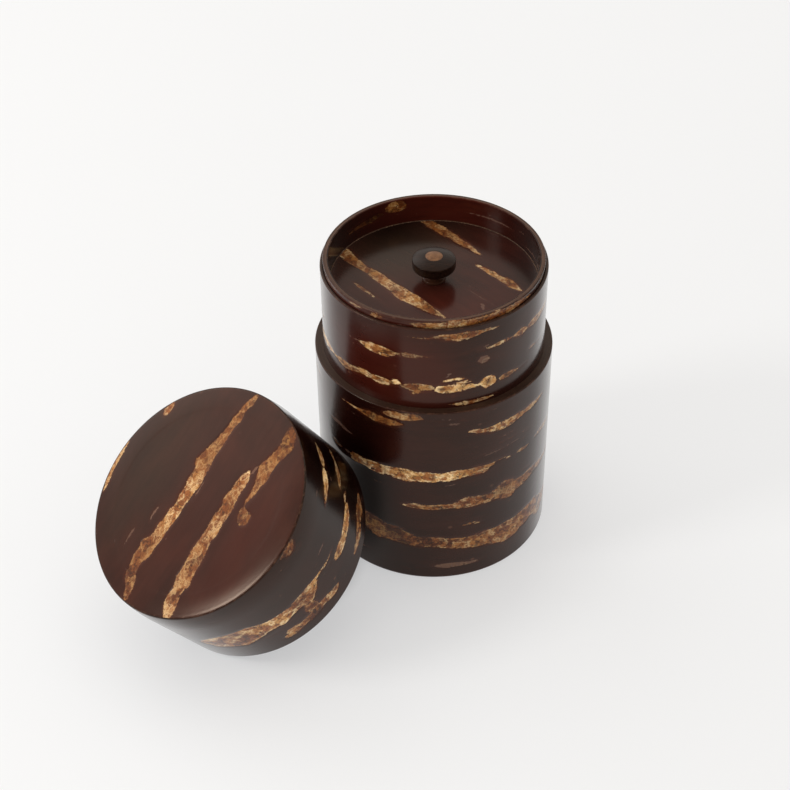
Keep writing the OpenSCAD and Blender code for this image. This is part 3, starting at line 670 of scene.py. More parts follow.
def disc_sheet(name, N, r_flat, z_face, prof, z_back, angle, streaks, seed, place=None, rim_r=None, extra=None):
    """A round sheet of bark: a flat face of radius r_flat at z_face, then the
    section prof outwards and down, closed by a back at z_back."""
    x, y, quads, rim = disc_square(N)
    up = 1 if z_back < z_face else -1
    X, Y = x * r_flat, y * r_flat
    base = len(X)
    n = len(rim)
    th = np.arctan2(Y[rim], X[rim])
    xs, ys, zs = [X], [Y], [np.full(base, float(z_face))]
    faces = [quads]
    prev = rim
    for k, (r, z) in enumerate(prof):
        xs.append(r * np.cos(th))
        ys.append(r * np.sin(th))
        zs.append(np.full(n, float(z)))
        cur = base + k * n + np.arange(n)
        faces.append(np.column_stack([prev, np.roll(prev, -1), np.roll(cur, -1), cur]))
        prev = cur
    centre = base + len(prof) * n
    xs.append(np.array([0.0]))
    ys.append(np.array([0.0]))
    zs.append(np.array([float(z_back)]))
    tris = np.column_stack([prev, np.roll(prev, -1), np.full(n, centre)])
    X, Y, Z = np.concatenate(xs), np.concatenate(ys), np.concatenate(zs)
    S, T = turned(angle, X, Y)
    coords = np.column_stack([S, T, Z])
    sd, tone, strength = field(streaks, S, T)
    shown = np.zeros(len(X), bool)
    shown[:base] = True
    rad = np.hypot(X, Y)
    depth = relief_depth(coords, (0.6, 1.0, 1.0), sd, strength, seed)
    depth = depth * np.where(shown, 1, 0) * smooth(r_flat, r_flat - 0.8, rad)
    Z2 = Z - up * depth
    edge = np.abs((rim_r if rim_r else prof[-1][0]) - rad)
    attrs = {
        "sheet": coords,
        "streak": sd,
        "tint": np.column_stack([tone, strength, np.zeros(len(X))]),
        "rim": edge,
        "mood": mood(name, S, T),
    }
    V = np.column_stack([X, Y, Z2])
    q = np.concatenate(faces)
    return finish_mesh(name, V, q, tris, attrs, place)


def annulus_sheet(name, prof, n, z_face, face_dir, angle, streaks, seed, rim_r, hole_r, place=None):
    """A round sheet of bark with a hole in the middle."""
    r, t, z = ring_points(prof, n, 0.0)
    X, Y = r * np.cos(t), r * np.sin(t)
    S, T = turned(angle, X, Y)
    coords = np.column_stack([S, T, z])
    sd, tone, strength = field(streaks, S, T)
    depth = relief_depth(coords, (0.6, 1.0, 1.0), sd, strength, seed)
    shown = np.abs(z - z_face) < 1e-6
    depth = depth * np.where(shown, 1, 0) * smooth(rim_r, rim_r - 0.8, r) * smooth(hole_r, hole_r + 0.5, r)
    V = np.column_stack([X, Y, z - face_dir * depth])
    attrs = {
        "sheet": coords,
        "streak": sd,
        "tint": np.column_stack([tone, strength, np.zeros(len(X))]),
        "rim": np.minimum(rim_r - r, 9.0),
        "mood": mood(name, S, T),
    }
    return finish_mesh(name, V, ring_faces(len(prof), n), [], attrs, place)


def turned_piece(name, prof, n, seed, wobble=0.0, place=None, closed=True, angle=32.0, gap_faces=True):
    """A turned wooden piece from its section. Points on the axis become poles."""
    prof = [tuple(p) for p in prof]
    P = np.array(prof, float)
    th = np.arange(n) * (2 * math.pi / n)
    V, ids = [], []
    for r, z in prof:
        if r < 1e-9:
            ids.append([len(V)])
            V.append((0.0, 0.0, z))
        else:
            ids.append(list(range(len(V), len(V) + n)))
            V.extend(zip(r * np.cos(th), r * np.sin(th), np.full(n, z)))
    quads, tris = [], []
    m = len(prof)
    for i in range(m):
        a, b = ids[i], ids[(i + 1) % m]
        if len(a) == 1 and len(b) == 1:
            continue
        for j in range(n):
            k = (j + 1) % n
            if len(a) == 1:
                tris.append((a[0], b[k], b[j]))
            elif len(b) == 1:
                tris.append((a[j], a[k], b[0]))
            else:
                quads.append((a[j], a[k], b[k], b[j]))
    V = np.array(V, float)
    coords = V.copy()
    if wobble:
        p = np.column_stack([coords[:, 0] * 0.15, coords[:, 1] * 0.15, coords[:, 2] * 3.0])
        d = vnoise(p, seed) * wobble
        rad = np.hypot(V[:, 0], V[:, 1])
        s = np.where(rad > 1e-6, (rad - np.minimum(d, rad * 0.5)) / np.maximum(rad, 1e-9), 1)
        V[:, 0] *= s
        V[:, 1] *= s
    edge = np.full(len(V), 9.0)
    return finish_mesh(name, V, quads, tris, {"sheet": coords, "rim": edge}, place, angle)


# ---------------------------------------------------------------- materials
def lin(c):
    """sRGB 0-255 to linear with alpha."""
    out = []
    for x in c:
        x = x / 255.0
        out.append(x / 12.92 if x <= 0.04045 else ((x + 0.055) / 1.055) ** 2.4)
    return (*out, 1.0)


class Nodes:
    """Short names for the nodes of one material."""

    def __init__(self, name):
        self.mat = bpy.data.materials.new(name)
        self.mat.use_nodes = True
        self.t = self.mat.node_tree
        self.t.nodes.clear()
        self.out = self.t.nodes.new("ShaderNodeOutputMaterial")
        self.bsdf = self.t.nodes.new("ShaderNodeBsdfPrincipled")
        self.t.links.new(self.bsdf.outputs[0], self.out.inputs["Surface"])

    def put(self, socket, value):
        if hasattr(value, "is_output"):
            self.t.links.new(value, socket)
        elif value is not None:
            socket.default_value = value

    def attr(self, name):
        n = self.t.nodes.new("ShaderNodeAttribute")
        n.attribute_type = "GEOMETRY"
        n.attribute_name = name
        return n

    def vec(self, name):
        return self.attr(name).outputs["Vector"]

    def val(self, name):
        return self.attr(name).outputs["Fac"]

    def math(self, op, a, b=None, c=None, clamp=False):
        n = self.t.nodes.new("ShaderNodeMath")
        n.operation = op
        n.use_clamp = clamp
        for s, v in zip(n.inputs, (a, b, c)):
            self.put(s, v)
        return n.outputs[0]

    def vmath(self, op, a, b=None, scale=None):
        n = self.t.nodes.new("ShaderNodeVectorMath")
        n.operation = op
        self.put(n.inputs[0], a)
        if b is not None:
            self.put(n.inputs[1], b)
        if scale is not None:
            self.put(n.inputs["Scale"], scale)
        return n.outputs["Value"] if op in ("LENGTH", "DOT_PRODUCT") else n.outputs[0]

    def split(self, v):
        n = self.t.nodes.new("ShaderNodeSeparateXYZ")
        self.put(n.inputs[0], v)
        return n.outputs

    def join(self, x, y, z):
        n = self.t.nodes.new("ShaderNodeCombineXYZ")
        for s, v in zip(n.inputs, (x, y, z)):
            self.put(s, v)
        return n.outputs[0]

    def noise(self, v, scale, detail=3.0, rough=0.5, warp=0.0, color=False):
        n = self.t.nodes.new("ShaderNodeTexNoise")
        n.noise_dimensions = "3D"
        self.put(n.inputs["Vector"], v)
        n.inputs["Scale"].default_value = scale
        n.inputs["Detail"].default_value = detail
        n.inputs["Roughness"].default_value = rough
        n.inputs["Distortion"].default_value = warp
        return n.outputs["Color" if color else "Fac"]

    def voronoi(self, v, scale, feature="F1", rand=1.0, out="Distance"):
        n = self.t.nodes.new("ShaderNodeTexVoronoi")
        n.voronoi_dimensions = "3D"
        n.feature = feature
        self.put(n.inputs["Vector"], v)
        n.inputs["Scale"].default_value = scale
        n.inputs["Randomness"].default_value = rand
        return n.outputs[out]

    def step(self, x, a, b, lo=0.0, hi=1.0):
        """Smooth step of x from lo at a to hi at b."""
        n = self.t.nodes.new("ShaderNodeMapRange")
        n.interpolation_type = "SMOOTHSTEP"
        n.clamp = True
        self.put(n.inputs["Value"], x)
        for k, v in (("From Min", a), ("From Max", b), ("To Min", lo), ("To Max", hi)):
            self.put(n.inputs[k], v)
        return n.outputs["Result"]

    def ramp(self, x, stops, mode="LINEAR"):
        n = self.t.nodes.new("ShaderNodeValToRGB")
        n.color_ramp.interpolation = mode
        e = n.color_ramp.elements
        while len(e) > 1:
            e.remove(e[-1])
        e[0].position, e[0].color = stops[0][0], stops[0][1]
        for p, c in stops[1:]:
            k = e.new(p)
            k.color = c
        self.put(n.inputs["Fac"], x)
        return n.outputs["Color"]

    def mix(self, f, a, b, mode="MIX"):
        n = self.t.nodes.new("ShaderNodeMix")
        n.data_type = "RGBA"
        n.blend_type = mode
        n.clamp_factor = True
        self.put(n.inputs["Factor"], f)
        sockets = [s for s in n.inputs if s.type == "RGBA"]
        self.put(sockets[0], a)
        self.put(sockets[1], b)
        return [o for o in n.outputs if o.type == "RGBA"][0]

    def bump(self, height, strength, distance, normal=None):
        n = self.t.nodes.new("ShaderNodeBump")
        self.put(n.inputs["Height"], height)
        n.inputs["Strength"].default_value = strength
        n.inputs["Distance"].default_value = distance
        if normal is not None:
            self.t.links.new(normal, n.inputs["Normal"])
        return n.outputs["Normal"]

    def glance(self, amount):
        # the varnish mirrors more along the surface than the wood under it
        n = self.t.nodes.new("ShaderNodeLayerWeight")
        n.inputs["Blend"].default_value = 0.5
        self.put(self.bsdf.inputs["Coat Weight"], self.step(n.outputs["Facing"], 0.56, 0.82, 0.0, amount))
        self.bsdf.inputs["Coat Roughness"].default_value = 0.18

    def shade(self, color, rough, normal=None, spec=0.35, tint=(1.0, 0.80, 0.63, 1)):
        # a varnish: weak facing the eye, strong along the surface
        k = 0.42 * spec
        self.bsdf.inputs["IOR"].default_value = 2.2
        self.bsdf.inputs["Specular Tint"].default_value = (tint[0] * k, tint[1] * k, tint[2] * k, 1)
        self.put(self.bsdf.inputs["Base Color"], color)
        self.put(self.bsdf.inputs["Roughness"], rough)
        self.bsdf.inputs["Specular IOR Level"].default_value = 0.5
        if normal is not None:
            self.t.links.new(normal, self.bsdf.inputs["Normal"])
        return self.mat


def bark(name, stretch, gloss=0.20, dark=1.0, cork=1.0, spec=0.35, calm=0.0):
    """Lacquered cherry bark: a smooth deep red-brown skin, and golden streaks of
    porous cork with feathered sides, dark pits and a pale net of fine walls."""
    m = Nodes(name)
    P = m.vec("sheet")
    sd = m.val("streak")
    tone, strength, seam = m.split(m.vec("tint"))[:3]
    rim = m.val("rim")

    def sc(a, b):
        """Coordinates scaled by a along the streaks and by b across them."""
        if stretch == "wall":
            return m.vmath("MULTIPLY", P, (a, a, b))
        return m.vmath("MULTIPLY", P, (a, b, b))

    def centred(x, amount, onto):
        return m.math("MULTIPLY_ADD", m.math("SUBTRACT", x, 0.5), amount, onto)

    # where the streak is: the measured outline, feathered along the sheet
    warm, deep, core = m.split(m.vec("mood"))[:3]
    d = centred(m.noise(sc(0.13, 1.0), 1.05, 3, 0.55), 1.9 - 0.9 * calm, m.math("SUBTRACT", sd, 0.27 - 0.07 * calm))
    d = centred(m.noise(sc(0.8, 1.0), 1.3, 3, 0.6), 1.0, d)
    d = centred(m.noise(sc(0.4, 1.0), 4.5, 2, 0.6), 0.5, d)
    gap = m.step(m.noise(sc(0.55, 0.8), 0.85, 3, 0.55, 0.5), 0.63, 0.71, 0.0, 1.0 - 0.6 * calm)
    d_in = m.math("SUBTRACT", d, gap)
    mask = m.math("MULTIPLY", m.step(d_in, -0.06, 0.10), strength, clamp=True)
    halo = m.math("MULTIPLY", m.step(d, -1.3, 0.1), m.step(m.noise(sc(0.4, 1.0), 0.28, 3, 0.6), 0.38, 0.62))
    halo = m.math("MULTIPLY", halo, strength)

    # the bark itself: smooth, clouded, with a few faint lines
    low = m.noise(sc(0.6, 1.0), 0.060, 3, 0.55, 0.4)
    base = m.ramp(low, [
        (0.30, (0.0190 * dark, 0.0048 * dark, 0.0036 * dark, 1)),
        (0.50, (0.0300 * dark, 0.0070 * dark, 0.0046 * dark, 1)),
        (0.72, (0.0440 * dark, 0.0100 * dark, 0.0058 * dark, 1)),
    ])
    # redder or olive-grey skin from the first mood column: partly its own hue, partly painted reflection
    base = m.mix(m.step(warm, 0.0, 1.0), base, (0.0640 * dark, 0.0100 * dark, 0.0058 * dark, 1))
    base = m.mix(m.step(warm, 0.0, -1.0), base, (0.0240 * dark, 0.0130 * dark, 0.0080 * dark, 1))
    grain = m.noise(sc(0.12, 1.0), 0.60, 5, 0.58, 0.2)
    base = m.mix(m.step(grain, 0.46, 0.78, 0.0, 0.22 - 0.14 * calm), base, (0.058 * dark, 0.0160 * dark, 0.0100 * dark, 1))
    base = m.mix(m.step(grain, 0.52, 0.24, 0.0, 0.32 - 0.20 * calm), base, (0.0120 * dark, 0.0036 * dark, 0.0030 * dark, 1))
    # painted shade: the skin is darkened by the second mood column, for shade and dark reflections
    base = m.vmath("SCALE", base, scale=m.math("MULTIPLY_ADD", deep, -0.85, 1.0))
    patch = m.noise(sc(0.5, 1.0), 0.075, 2, 0.5)
    hair = m.noise(sc(0.11, 1.0), 2.2, 3, 0.55, 0.1)
    hair = m.math("MULTIPLY", m.step(hair, 0.66, 0.75), m.step(patch, 0.52, 0.64))
    base = m.mix(m.math("MULTIPLY", hair, 0.24), base, lin((118, 82, 62)))
    spot = m.voronoi(sc(0.8, 1.0), 0.12)
    spot = m.math("MULTIPLY", m.step(spot, 0.10, 0.04), m.step(patch, 0.50, 0.60))
    base = m.mix(m.math("MULTIPLY", spot, 0.30), base, lin((122, 84, 66)))
    base = m.mix(m.math("MULTIPLY", halo, 0.42), base, lin((80, 36, 21)))

    # the cork in a streak: irregular chunks, some with pale walls and some
    # parted by dark cracks, and dark pits between them
    P1 = sc(0.85, 1.0)
    warp = m.vmath("SUBTRACT", m.noise(P1, 0.62, 4, 0.62, 0, True), (0.5, 0.5, 0.5))
    W = m.vmath("ADD", P1, m.vmath("SCALE", warp, scale=3.6))
    cell = m.split(m.voronoi(W, 0.42, "F1", 1.0, "Color"))[0]
    wall1 = m.voronoi(W, 0.42, "DISTANCE_TO_EDGE")
    wall2 = m.voronoi(W, 1.05, "DISTANCE_TO_EDGE")
    drift = m.noise(sc(0.40, 0.8), 0.17, 2, 0.5)
    t = m.math("MULTIPLY_ADD", tone, 0.40, m.math("MULTIPLY_ADD", cell, 0.42 - 0.18 * calm, -0.06 + 0.12 * calm))
    t = centred(drift, 0.6, t)
    t = centred(m.noise(W, 1.5, 4, 0.72), 1.35 - 0.6 * calm, t)
    c = cork

    def ck(r, g, b):
        v = lin((r, g, b))
        return (v[0] * c, v[1] * c * (1 - 0.10 * calm), v[2] * c * (1 - 0.20 * calm), 1.0)

    body = m.ramp(t, [
        (0.00, ck(60, 26, 12)),
        (0.18, ck(108, 54, 25)),
        (0.36, ck(150, 88, 42)),
        (0.56, ck(178, 122, 64)),
        (0.78, ck(212, 164, 100)),
        (1.00, ck(244, 212, 158)),
    ])
    where = m.noise(P1, 0.34, 2, 0.5)
    net = m.math("MAXIMUM", m.step(wall1, 0.12, 0.02), m.math("MULTIPLY", m.step(wall2, 0.13, 0.03), 0.6))
    net = m.math("MULTIPLY", net, m.step(where, 0.50 - 0.06 * calm, 0.60 - 0.07 * calm))
    pale = m.mix(m.step(tone, 0.10, 0.80), ck(196, 142, 78), ck(252, 226, 176))
    body = m.mix(m.math("MULTIPLY", net, 0.78), body, pale)
    crack = m.math("MULTIPLY", m.step(wall1, 0.11, 0.03), m.step(where, 0.49, 0.40))
    body = m.mix(m.math("MULTIPLY", crack, 0.85 - 0.15 * calm), body, ck(58, 26, 12))
    shade = m.math("MULTIPLY", m.step(wall1, 0.14, 0.44), m.step(cell, 0.60, 0.25))
    body = m.mix(m.math("MULTIPLY", shade, 0.45 - 0.2 * calm), body, ck(100, 46, 21))
    pit = m.step(m.noise(sc(0.62, 1.0), 1.15, 3, 0.62, 0.8), 0.575, 0.65)
    body = m.mix(m.math("MULTIPLY", pit, 0.80 - 0.45 * calm), body, ck(46, 20, 9))
    side = m.step(d_in, 0.42, 0.02)
    body = m.mix(m.math("MULTIPLY", side, 0.20), body, ck(92, 44, 21))
    lip = m.math("MULTIPLY", m.step(d_in, 0.04, 0.26), m.step(d_in, 0.80, 0.42))
    lip = m.math("MULTIPLY", lip, m.step(m.noise(P1, 0.75, 3, 0.65), 0.47, 0.56))
    body = m.mix(m.math("MULTIPLY", lip, m.step(tone, 0.25, 0.95, 0.15, 0.62)), body, pale)
    body = m.mix(m.math("MULTIPLY", core, m.step(d_in, 0.1, 0.7, 0.35, 1.0)), body, ck(72, 34, 16))
    lines = m.noise(sc(0.14, 1.0), 3.0, 3, 0.6)
    body = m.mix(m.step(lines, 0.57, 0.74, 0, 0.40), body, ck(78, 38, 18))
    body = m.vmath("SCALE", body, scale=m.math("MULTIPLY_ADD", tone, 0.72, 0.68))
    body = m.mix(m.step(strength, 0.64, 0.40), body, ck(158, 124, 108))

    # the joint of the sheet, and its edges: paler where the lacquer is worn, and a painted highlight along the rims
    wear_and_highlight = m.math("MULTIPLY", m.step(rim, 0.55, 0.05), m.step(m.noise(sc(0.5, 1), 0.7, 4, 0.65), 0.45, 0.68))
    color = m.mix(mask, base, body)
    color = m.mix(m.math("MULTIPLY", wear_and_highlight, 0.40), color, lin((92, 60, 44)))
    color = m.mix(m.math("MULTIPLY", m.step(seam, 0.35, 1.0), 0.75), color, (0.008, 0.004, 0.004, 1))

    smudge = m.noise(sc(0.5, 1.0), 0.10, 4, 0.6)
    rough = m.math("MULTIPLY_ADD", smudge, 0.14, gloss - 0.07)
    rough = centred(m.noise(sc(0.14, 1.0), 1.8, 3, 0.6), 0.05, rough)
    rough = m.math("MULTIPLY_ADD", mask, 0.12, rough)
    rough = m.math("MULTIPLY_ADD", pit, m.math("MULTIPLY", mask, 0.12), rough)
    rough = m.math("MULTIPLY_ADD", wear_and_highlight, 0.15, rough)

    skin = m.noise(sc(0.20, 1.0), 0.9, 4, 0.55)
    peel = m.noise(sc(0.8, 1.0), 0.40, 2, 0.5)
    h = m.math("MULTIPLY_ADD", skin, 0.16, m.math("MULTIPLY", peel, 0.5))
    h_in = m.math("SUBTRACT", m.math("MULTIPLY", t, 0.9), m.math("MULTIPLY", pit, 0.9))
    h = m.math("MULTIPLY_ADD", mask, m.math("SUBTRACT", h_in, 0.4), h)
    normal = m.bump(h, 0.30, 0.00006)
    if stretch == "wall":
        m.glance(0.6)
    return m.shade(color, rough, normal, spec)


def veneer(name, dark=1.0):
    """The lacquered cut edge of a rolled wooden tube: thin layers, round and round."""
    m = Nodes(name)
    P = m.vec("sheet")
    x, y, z = m.split(P)[:3]
    r = m.vmath("LENGTH", m.join(x, y, 0.0))
    wob = m.noise(m.vmath("MULTIPLY", P, (0.12, 0.12, 0.12)), 1.0, 3, 0.5)
    layer = m.math("MULTIPLY_ADD", wob, 0.35, r)
    ply = m.noise(m.join(m.math("MULTIPLY", layer, 3.2), 0.0, m.math("MULTIPLY", z, 0.4)), 1.0, 3, 0.6)
    fibre = m.noise(m.vmath("MULTIPLY", P, (0.9, 0.9, 0.25)), 1.4, 4, 0.6)
    t = m.math("ADD", m.math("MULTIPLY", ply, 0.65), m.math("MULTIPLY", fibre, 0.35))
    color = m.ramp(t, [
        (0.30, (0.014 * dark, 0.0070 * dark, 0.0052 * dark, 1)),
        (0.50, (0.030 * dark, 0.0140 * dark, 0.0090 * dark, 1)),
        (0.70, (0.055 * dark, 0.0270 * dark, 0.0160 * dark, 1)),
    ])
    big = m.noise(m.vmath("MULTIPLY", P, (0.06, 0.06, 0.06)), 1.0, 3, 0.6)
    color = m.mix(m.step(big, 0.5, 0.75, 0, 0.4), color, (0.070 * dark, 0.036 * dark, 0.022 * dark, 1))
    rough = m.math("MULTIPLY_ADD", m.noise(P, 0.5, 3, 0.6), 0.22, 0.24)
    h = m.math("ADD", m.math("MULTIPLY", ply, 0.7), m.math("MULTIPLY", fibre, 0.4))
    return m.shade(color, rough, m.bump(h, 0.35, 0.00006), 0.35)


def plain_wood(name, tint=(1, 1, 1)):
    """Bare pale wood with growth rings, seen on the boards inside."""
    m = Nodes(name)
    co = m.t.nodes.new("ShaderNodeTexCoord")
    P = m.vmath("SCALE", co.outputs["Object"], scale=1000.0)
    wob = m.noise(m.vmath("MULTIPLY", P, (0.012, 0.05, 0.05)), 1.0, 3, 0.5, 0, True)
    Q = m.vmath("ADD", P, m.vmath("SCALE", wob, scale=5.0))
    _, y, z = m.split(Q)[:3]
    ring = m.noise(m.join(0.0, m.math("MULTIPLY", y, 0.55), m.math("MULTIPLY", z, 0.22)), 1.0, 4, 0.6)
    fibre = m.noise(m.vmath("MULTIPLY", P, (0.08, 1.6, 1.6)), 1.0, 4, 0.65)
    t = m.math("ADD", m.math("MULTIPLY", ring, 0.7), m.math("MULTIPLY", fibre, 0.3))
    color = m.ramp(t, [
        (0.28, lin((146 * tint[0], 104 * tint[1], 66 * tint[2]))),
        (0.50, lin((186 * tint[0], 146 * tint[1], 100 * tint[2]))),
        (0.72, lin((206 * tint[0], 170 * tint[1], 124 * tint[2]))),
    ])
    rough = m.math("MULTIPLY_ADD", fibre, 0.2, 0.5)
    return m.shade(color, rough, m.bump(t, 0.4, 0.0001), 0.3)


def knob_wood(name):
    """Very dark turned wood with a fine grain and soft polish."""
    m = Nodes(name)
    P = m.vec("sheet")
    x, y, z = m.split(P)[:3]
    grain = m.noise(m.vmath("MULTIPLY", P, (0.18, 1.5, 0.35)), 1.6, 5, 0.65, 0.2)
    fine = m.noise(m.vmath("MULTIPLY", P, (0.5, 5.0, 1.0)), 1.6, 3, 0.6)
    t = m.math("ADD", m.math("MULTIPLY", grain, 0.7), m.math("MULTIPLY", fine, 0.3))
    color = m.ramp(t, [
        (0.34, (0.0060, 0.0026, 0.0018, 1)),
        (0.52, (0.0130, 0.0056, 0.0036, 1)),
        (0.70, (0.0300, 0.0120, 0.0070, 1)),
    ])
    # lighter red-brown towards the neck: partly the wood's colour, partly a painted highlight and reflection there
    color = m.mix(m.step(z, DISC_TOP + 0.50 * KNOB_H, DISC_TOP + 0.20 * KNOB_H, 0.0, 0.85), color, (0.048, 0.017, 0.009, 1))
    turn = m.noise(m.join(0.0, 0.0, m.math("MULTIPLY", z, 9.0)), 1.0, 2, 0.5)
    rough = m.math("MULTIPLY_ADD", grain, 0.2, 0.2)
    h = m.math("ADD", m.math("MULTIPLY", turn, 0.5), m.math("MULTIPLY", t, 0.5))
    return m.shade(color, rough, m.bump(h, 0.25, 0.00005), 0.09)


def lacquer_bead(name):
    """A thin dusty line of lacquer where two sheets meet."""
    m = Nodes(name)
    P = m.vec("sheet")
    n = m.noise(P, 0.8, 4, 0.65)
    fine = m.noise(P, 3.2, 3, 0.6)
    color = m.ramp(m.math("MULTIPLY_ADD", fine, 0.5, m.math("MULTIPLY", n, 0.5)), [
        (0.36, (0.020, 0.008, 0.005, 1)),
        (0.52, (0.055, 0.026, 0.015, 1)),
        (0.66, (0.170, 0.100, 0.058, 1)),
    ])
    return m.shade(color, m.math("MULTIPLY_ADD", n, 0.3, 0.25), m.bump(fine, 0.2, 0.00004), 0.3)


def plug_wood(name):
    """End of a round brown plug: rays and pores across its face."""
    m = Nodes(name)
    P = m.vec("sheet")
    g = m.noise(m.vmath("MULTIPLY", P, (0.5, 2.2, 1.0)), 1.2, 4, 0.65, 0.5)
    pores = m.voronoi(P, 3.2)
    color = m.ramp(g, [
        (0.32, lin((70, 42, 26))),
        (0.50, lin((106, 70, 44))),
        (0.70, lin((138, 100, 66))),
    ])
    color = m.mix(m.step(pores, 0.25, 0.10, 0, 0.5), color, lin((52, 30, 20)))
    rough = m.math("MULTIPLY_ADD", g, 0.2, 0.26)
    return m.shade(color, rough, m.bump(g, 0.3, 0.00006), 0.35)


# Copies of one bark. The walls and lid wall (dark 0.66) are darker than the discs (1.16, 1.20): painted shade for the
# lesser light on upright sides.
BARK_WALL = bark("bark_on_walls", "wall", 0.20, 0.66, 0.70)
BARK_LID = bark("bark_on_lid_wall", "wall", 0.20, 0.66, 0.80)
BARK_RING = bark("bark_in_ring", "wall", 0.20, 1.02, 0.80, 0.12)
BARK_DISC = bark("bark_on_discs", "disc", 0.20, 1.16, 0.79, 0.33, 0.85)
BARK_SUNK = bark("bark_on_sunk_disc", "disc", 0.20, 1.20, 0.57, 0.28, 0.5)
BARK_IN = bark("bark_inside", "wall", 0.27, 0.80, 0.70)
VENEER = veneer("edge_of_tube")
VENEER_RING = veneer("edge_of_ring", 1.8)
WOOD = plain_wood("board_wood")
PEG = plain_wood("peg_wood", (0.92, 0.88, 0.84))
KNOB = knob_wood("knob_wood")
BEAD = lacquer_bead("lacquer_bead")
PLUG = plug_wood("plug_wood")


def add(ob, mat, body, node):
    ob.data.materials.clear()
    ob.data.materials.append(mat)
    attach(ob, body)
    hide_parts(node)
    return ob


# ------------------------------------------------------------- body pieces
BACK = math.radians(97)  # where the ends of a bark sheet meet, behind
FRONT = -math.pi / 2

prof = (arc((R - SOFT, BODY_H - SOFT), SOFT, 90, 0, 6)[:-1]
        + line((R, BODY_H - SOFT), (R, BARK + 0.2), 0.5)
        + arc((R - 0.2, BARK + 0.2), 0.2, 0, -90, 3)
        + [(R - BARK, BARK), (R - BARK, BODY_H)])
add(wall_sheet("body_bark_sheet", prof, 504, FRONT, R, BODY, 101, BACK, (R - 0.02, R + 1), rims=(BODY_H - 0.1, BARK)),
    BARK_WALL, "caddy_body", "body_outer_bark")

prof = (line((COLLAR_R, BODY_H - 0.04), (R - BARK, BODY_H - 0.04), 0.3)
        + line((R - BARK, BODY_H - 0.04), (R - BARK, BARK), 20)
        + line((R - BARK, BARK), (COLLAR_R, BARK), 5)
        + line((COLLAR_R, BARK), (COLLAR_R, BODY_H - 0.04), 20))


def tube_piece(name, prof, n, seed, face_z=None, groove=0.012, place=None, angle=32.0):
    """A rolled wooden tube. Its cut end shows thin layers as very small steps."""
    r, t, z = ring_points(prof, n, 0.0)
    coords = np.column_stack([r * np.cos(t), r * np.sin(t), z])
    dz = np.zeros(len(z))
    if face_z is not None:
        on = np.abs(z - face_z) < 1e-6
        p = np.column_stack([coords[:, 0] * 0.05, coords[:, 1] * 0.05, r * 2.4])
        dz = np.where(on, vnoise(p, seed) * groove * 3, 0)
    V = coords.copy()
    V[:, 2] -= dz
    return finish_mesh(name, V, ring_faces(len(prof), n), [],
                       {"sheet": coords, "rim": np.full(len(z), 9.0)}, place, angle)


add(tube_piece("body_tube_edge", prof, 360, 5, BODY_H - 0.04), VENEER, "caddy_body", "body_core_tube")

seat = RING_FOOT - 0.05
prof = (line((REBATE_R + 0.15, COLLAR_TOP - 0.03), (COLLAR_R - BARK, COLLAR_TOP - 0.03), 0.12)
        + line((COLLAR_R - BARK, COLLAR_TOP - 0.03), (COLLAR_R - BARK, BARK + BOTTOM), 20)
        + line((COLLAR_R - BARK, BARK + BOTTOM), (BORE_R, BARK + BOTTOM), 5)
        + line((BORE_R, BARK + BOTTOM), (BORE_R, seat), 20)
        + line((BORE_R, seat), (REBATE_R, seat), 0.3)
        + line((REBATE_R, seat), (REBATE_R, COLLAR_TOP - 0.18), 1.2)
        + arc((REBATE_R + 0.15, COLLAR_TOP - 0.18), 0.15, 180, 90, 4)[:-1])
add(tube_piece("collar_tube_edge", prof, 360, 6, COLLAR_TOP - 0.03, 0.008), VENEER, "caddy_body", "collar_core_tube")

prof = (arc((COLLAR_R - SOFT, COLLAR_TOP - SOFT), SOFT, 90, 0, 6)[:-1]
        + line((COLLAR_R, COLLAR_TOP - SOFT), (COLLAR_R, BODY_H - 2), 0.5)
        + line((COLLAR_R, BODY_H - 2), (COLLAR_R, BARK + BOTTOM), 12)
        + [(COLLAR_R, BARK + BOTTOM), (COLLAR_R - BARK, BARK + BOTTOM), (COLLAR_R - BARK, COLLAR_TOP)])
add(wall_sheet("collar_bark_sheet", prof, 468, FRONT, COLLAR_R, COLLAR, 103, BACK, (COLLAR_R - 0.02, COLLAR_R + 1), rims=(COLLAR_TOP - 0.1,)),
    BARK_WALL, "caddy_body", "collar_bark")

prof = ([(BORE_R, 2 * BARK + BOTTOM)]
        + line((BORE_R, 2 * BARK + BOTTOM), (BORE_R, seat), 20)[1:]
        + [(BORE_R, seat)]
        + arc((TEA_R + 0.2, seat - 0.2), 0.2, 90, 180, 4)[:-1]
        + line((TEA_R, seat - 0.2), (TEA_R, 2 * BARK + BOTTOM), 0.9)
        + [(TEA_R, 2 * BARK + BOTTOM)])
add(wall_sheet("tea_space_lining", prof, 300, math.pi / 2, TEA_R, LINER, 107, math.radians(-84), (TEA_R - 1, TEA_R + 0.02), inner=True, rims=(seat,)),
    BARK_IN, "caddy_body", "liner_bark")

prof = arc((R - 0.5, 0.35), 0.35, -90, 0, 4)[1:] + [(R - 0.15, BARK)]
add(disc_sheet("underside_bark_sheet", 112, R - 0.5, 0.0, prof, BARK, 0.35, BOTTOM_STREAKS, 109),
    BARK_DISC, "caddy_body", "bottom_bark")

add(disc_sheet("tea_space_floor", 96, TEA_R, 2 * BARK + BOTTOM, [(BORE_R, 2 * BARK + BOTTOM), (BORE_R, BARK + BOTTOM)], BARK + BOTTOM, -0.6, FLOOR_STREAKS, 113),
    BARK_DISC, "caddy_body", "floor_bark")

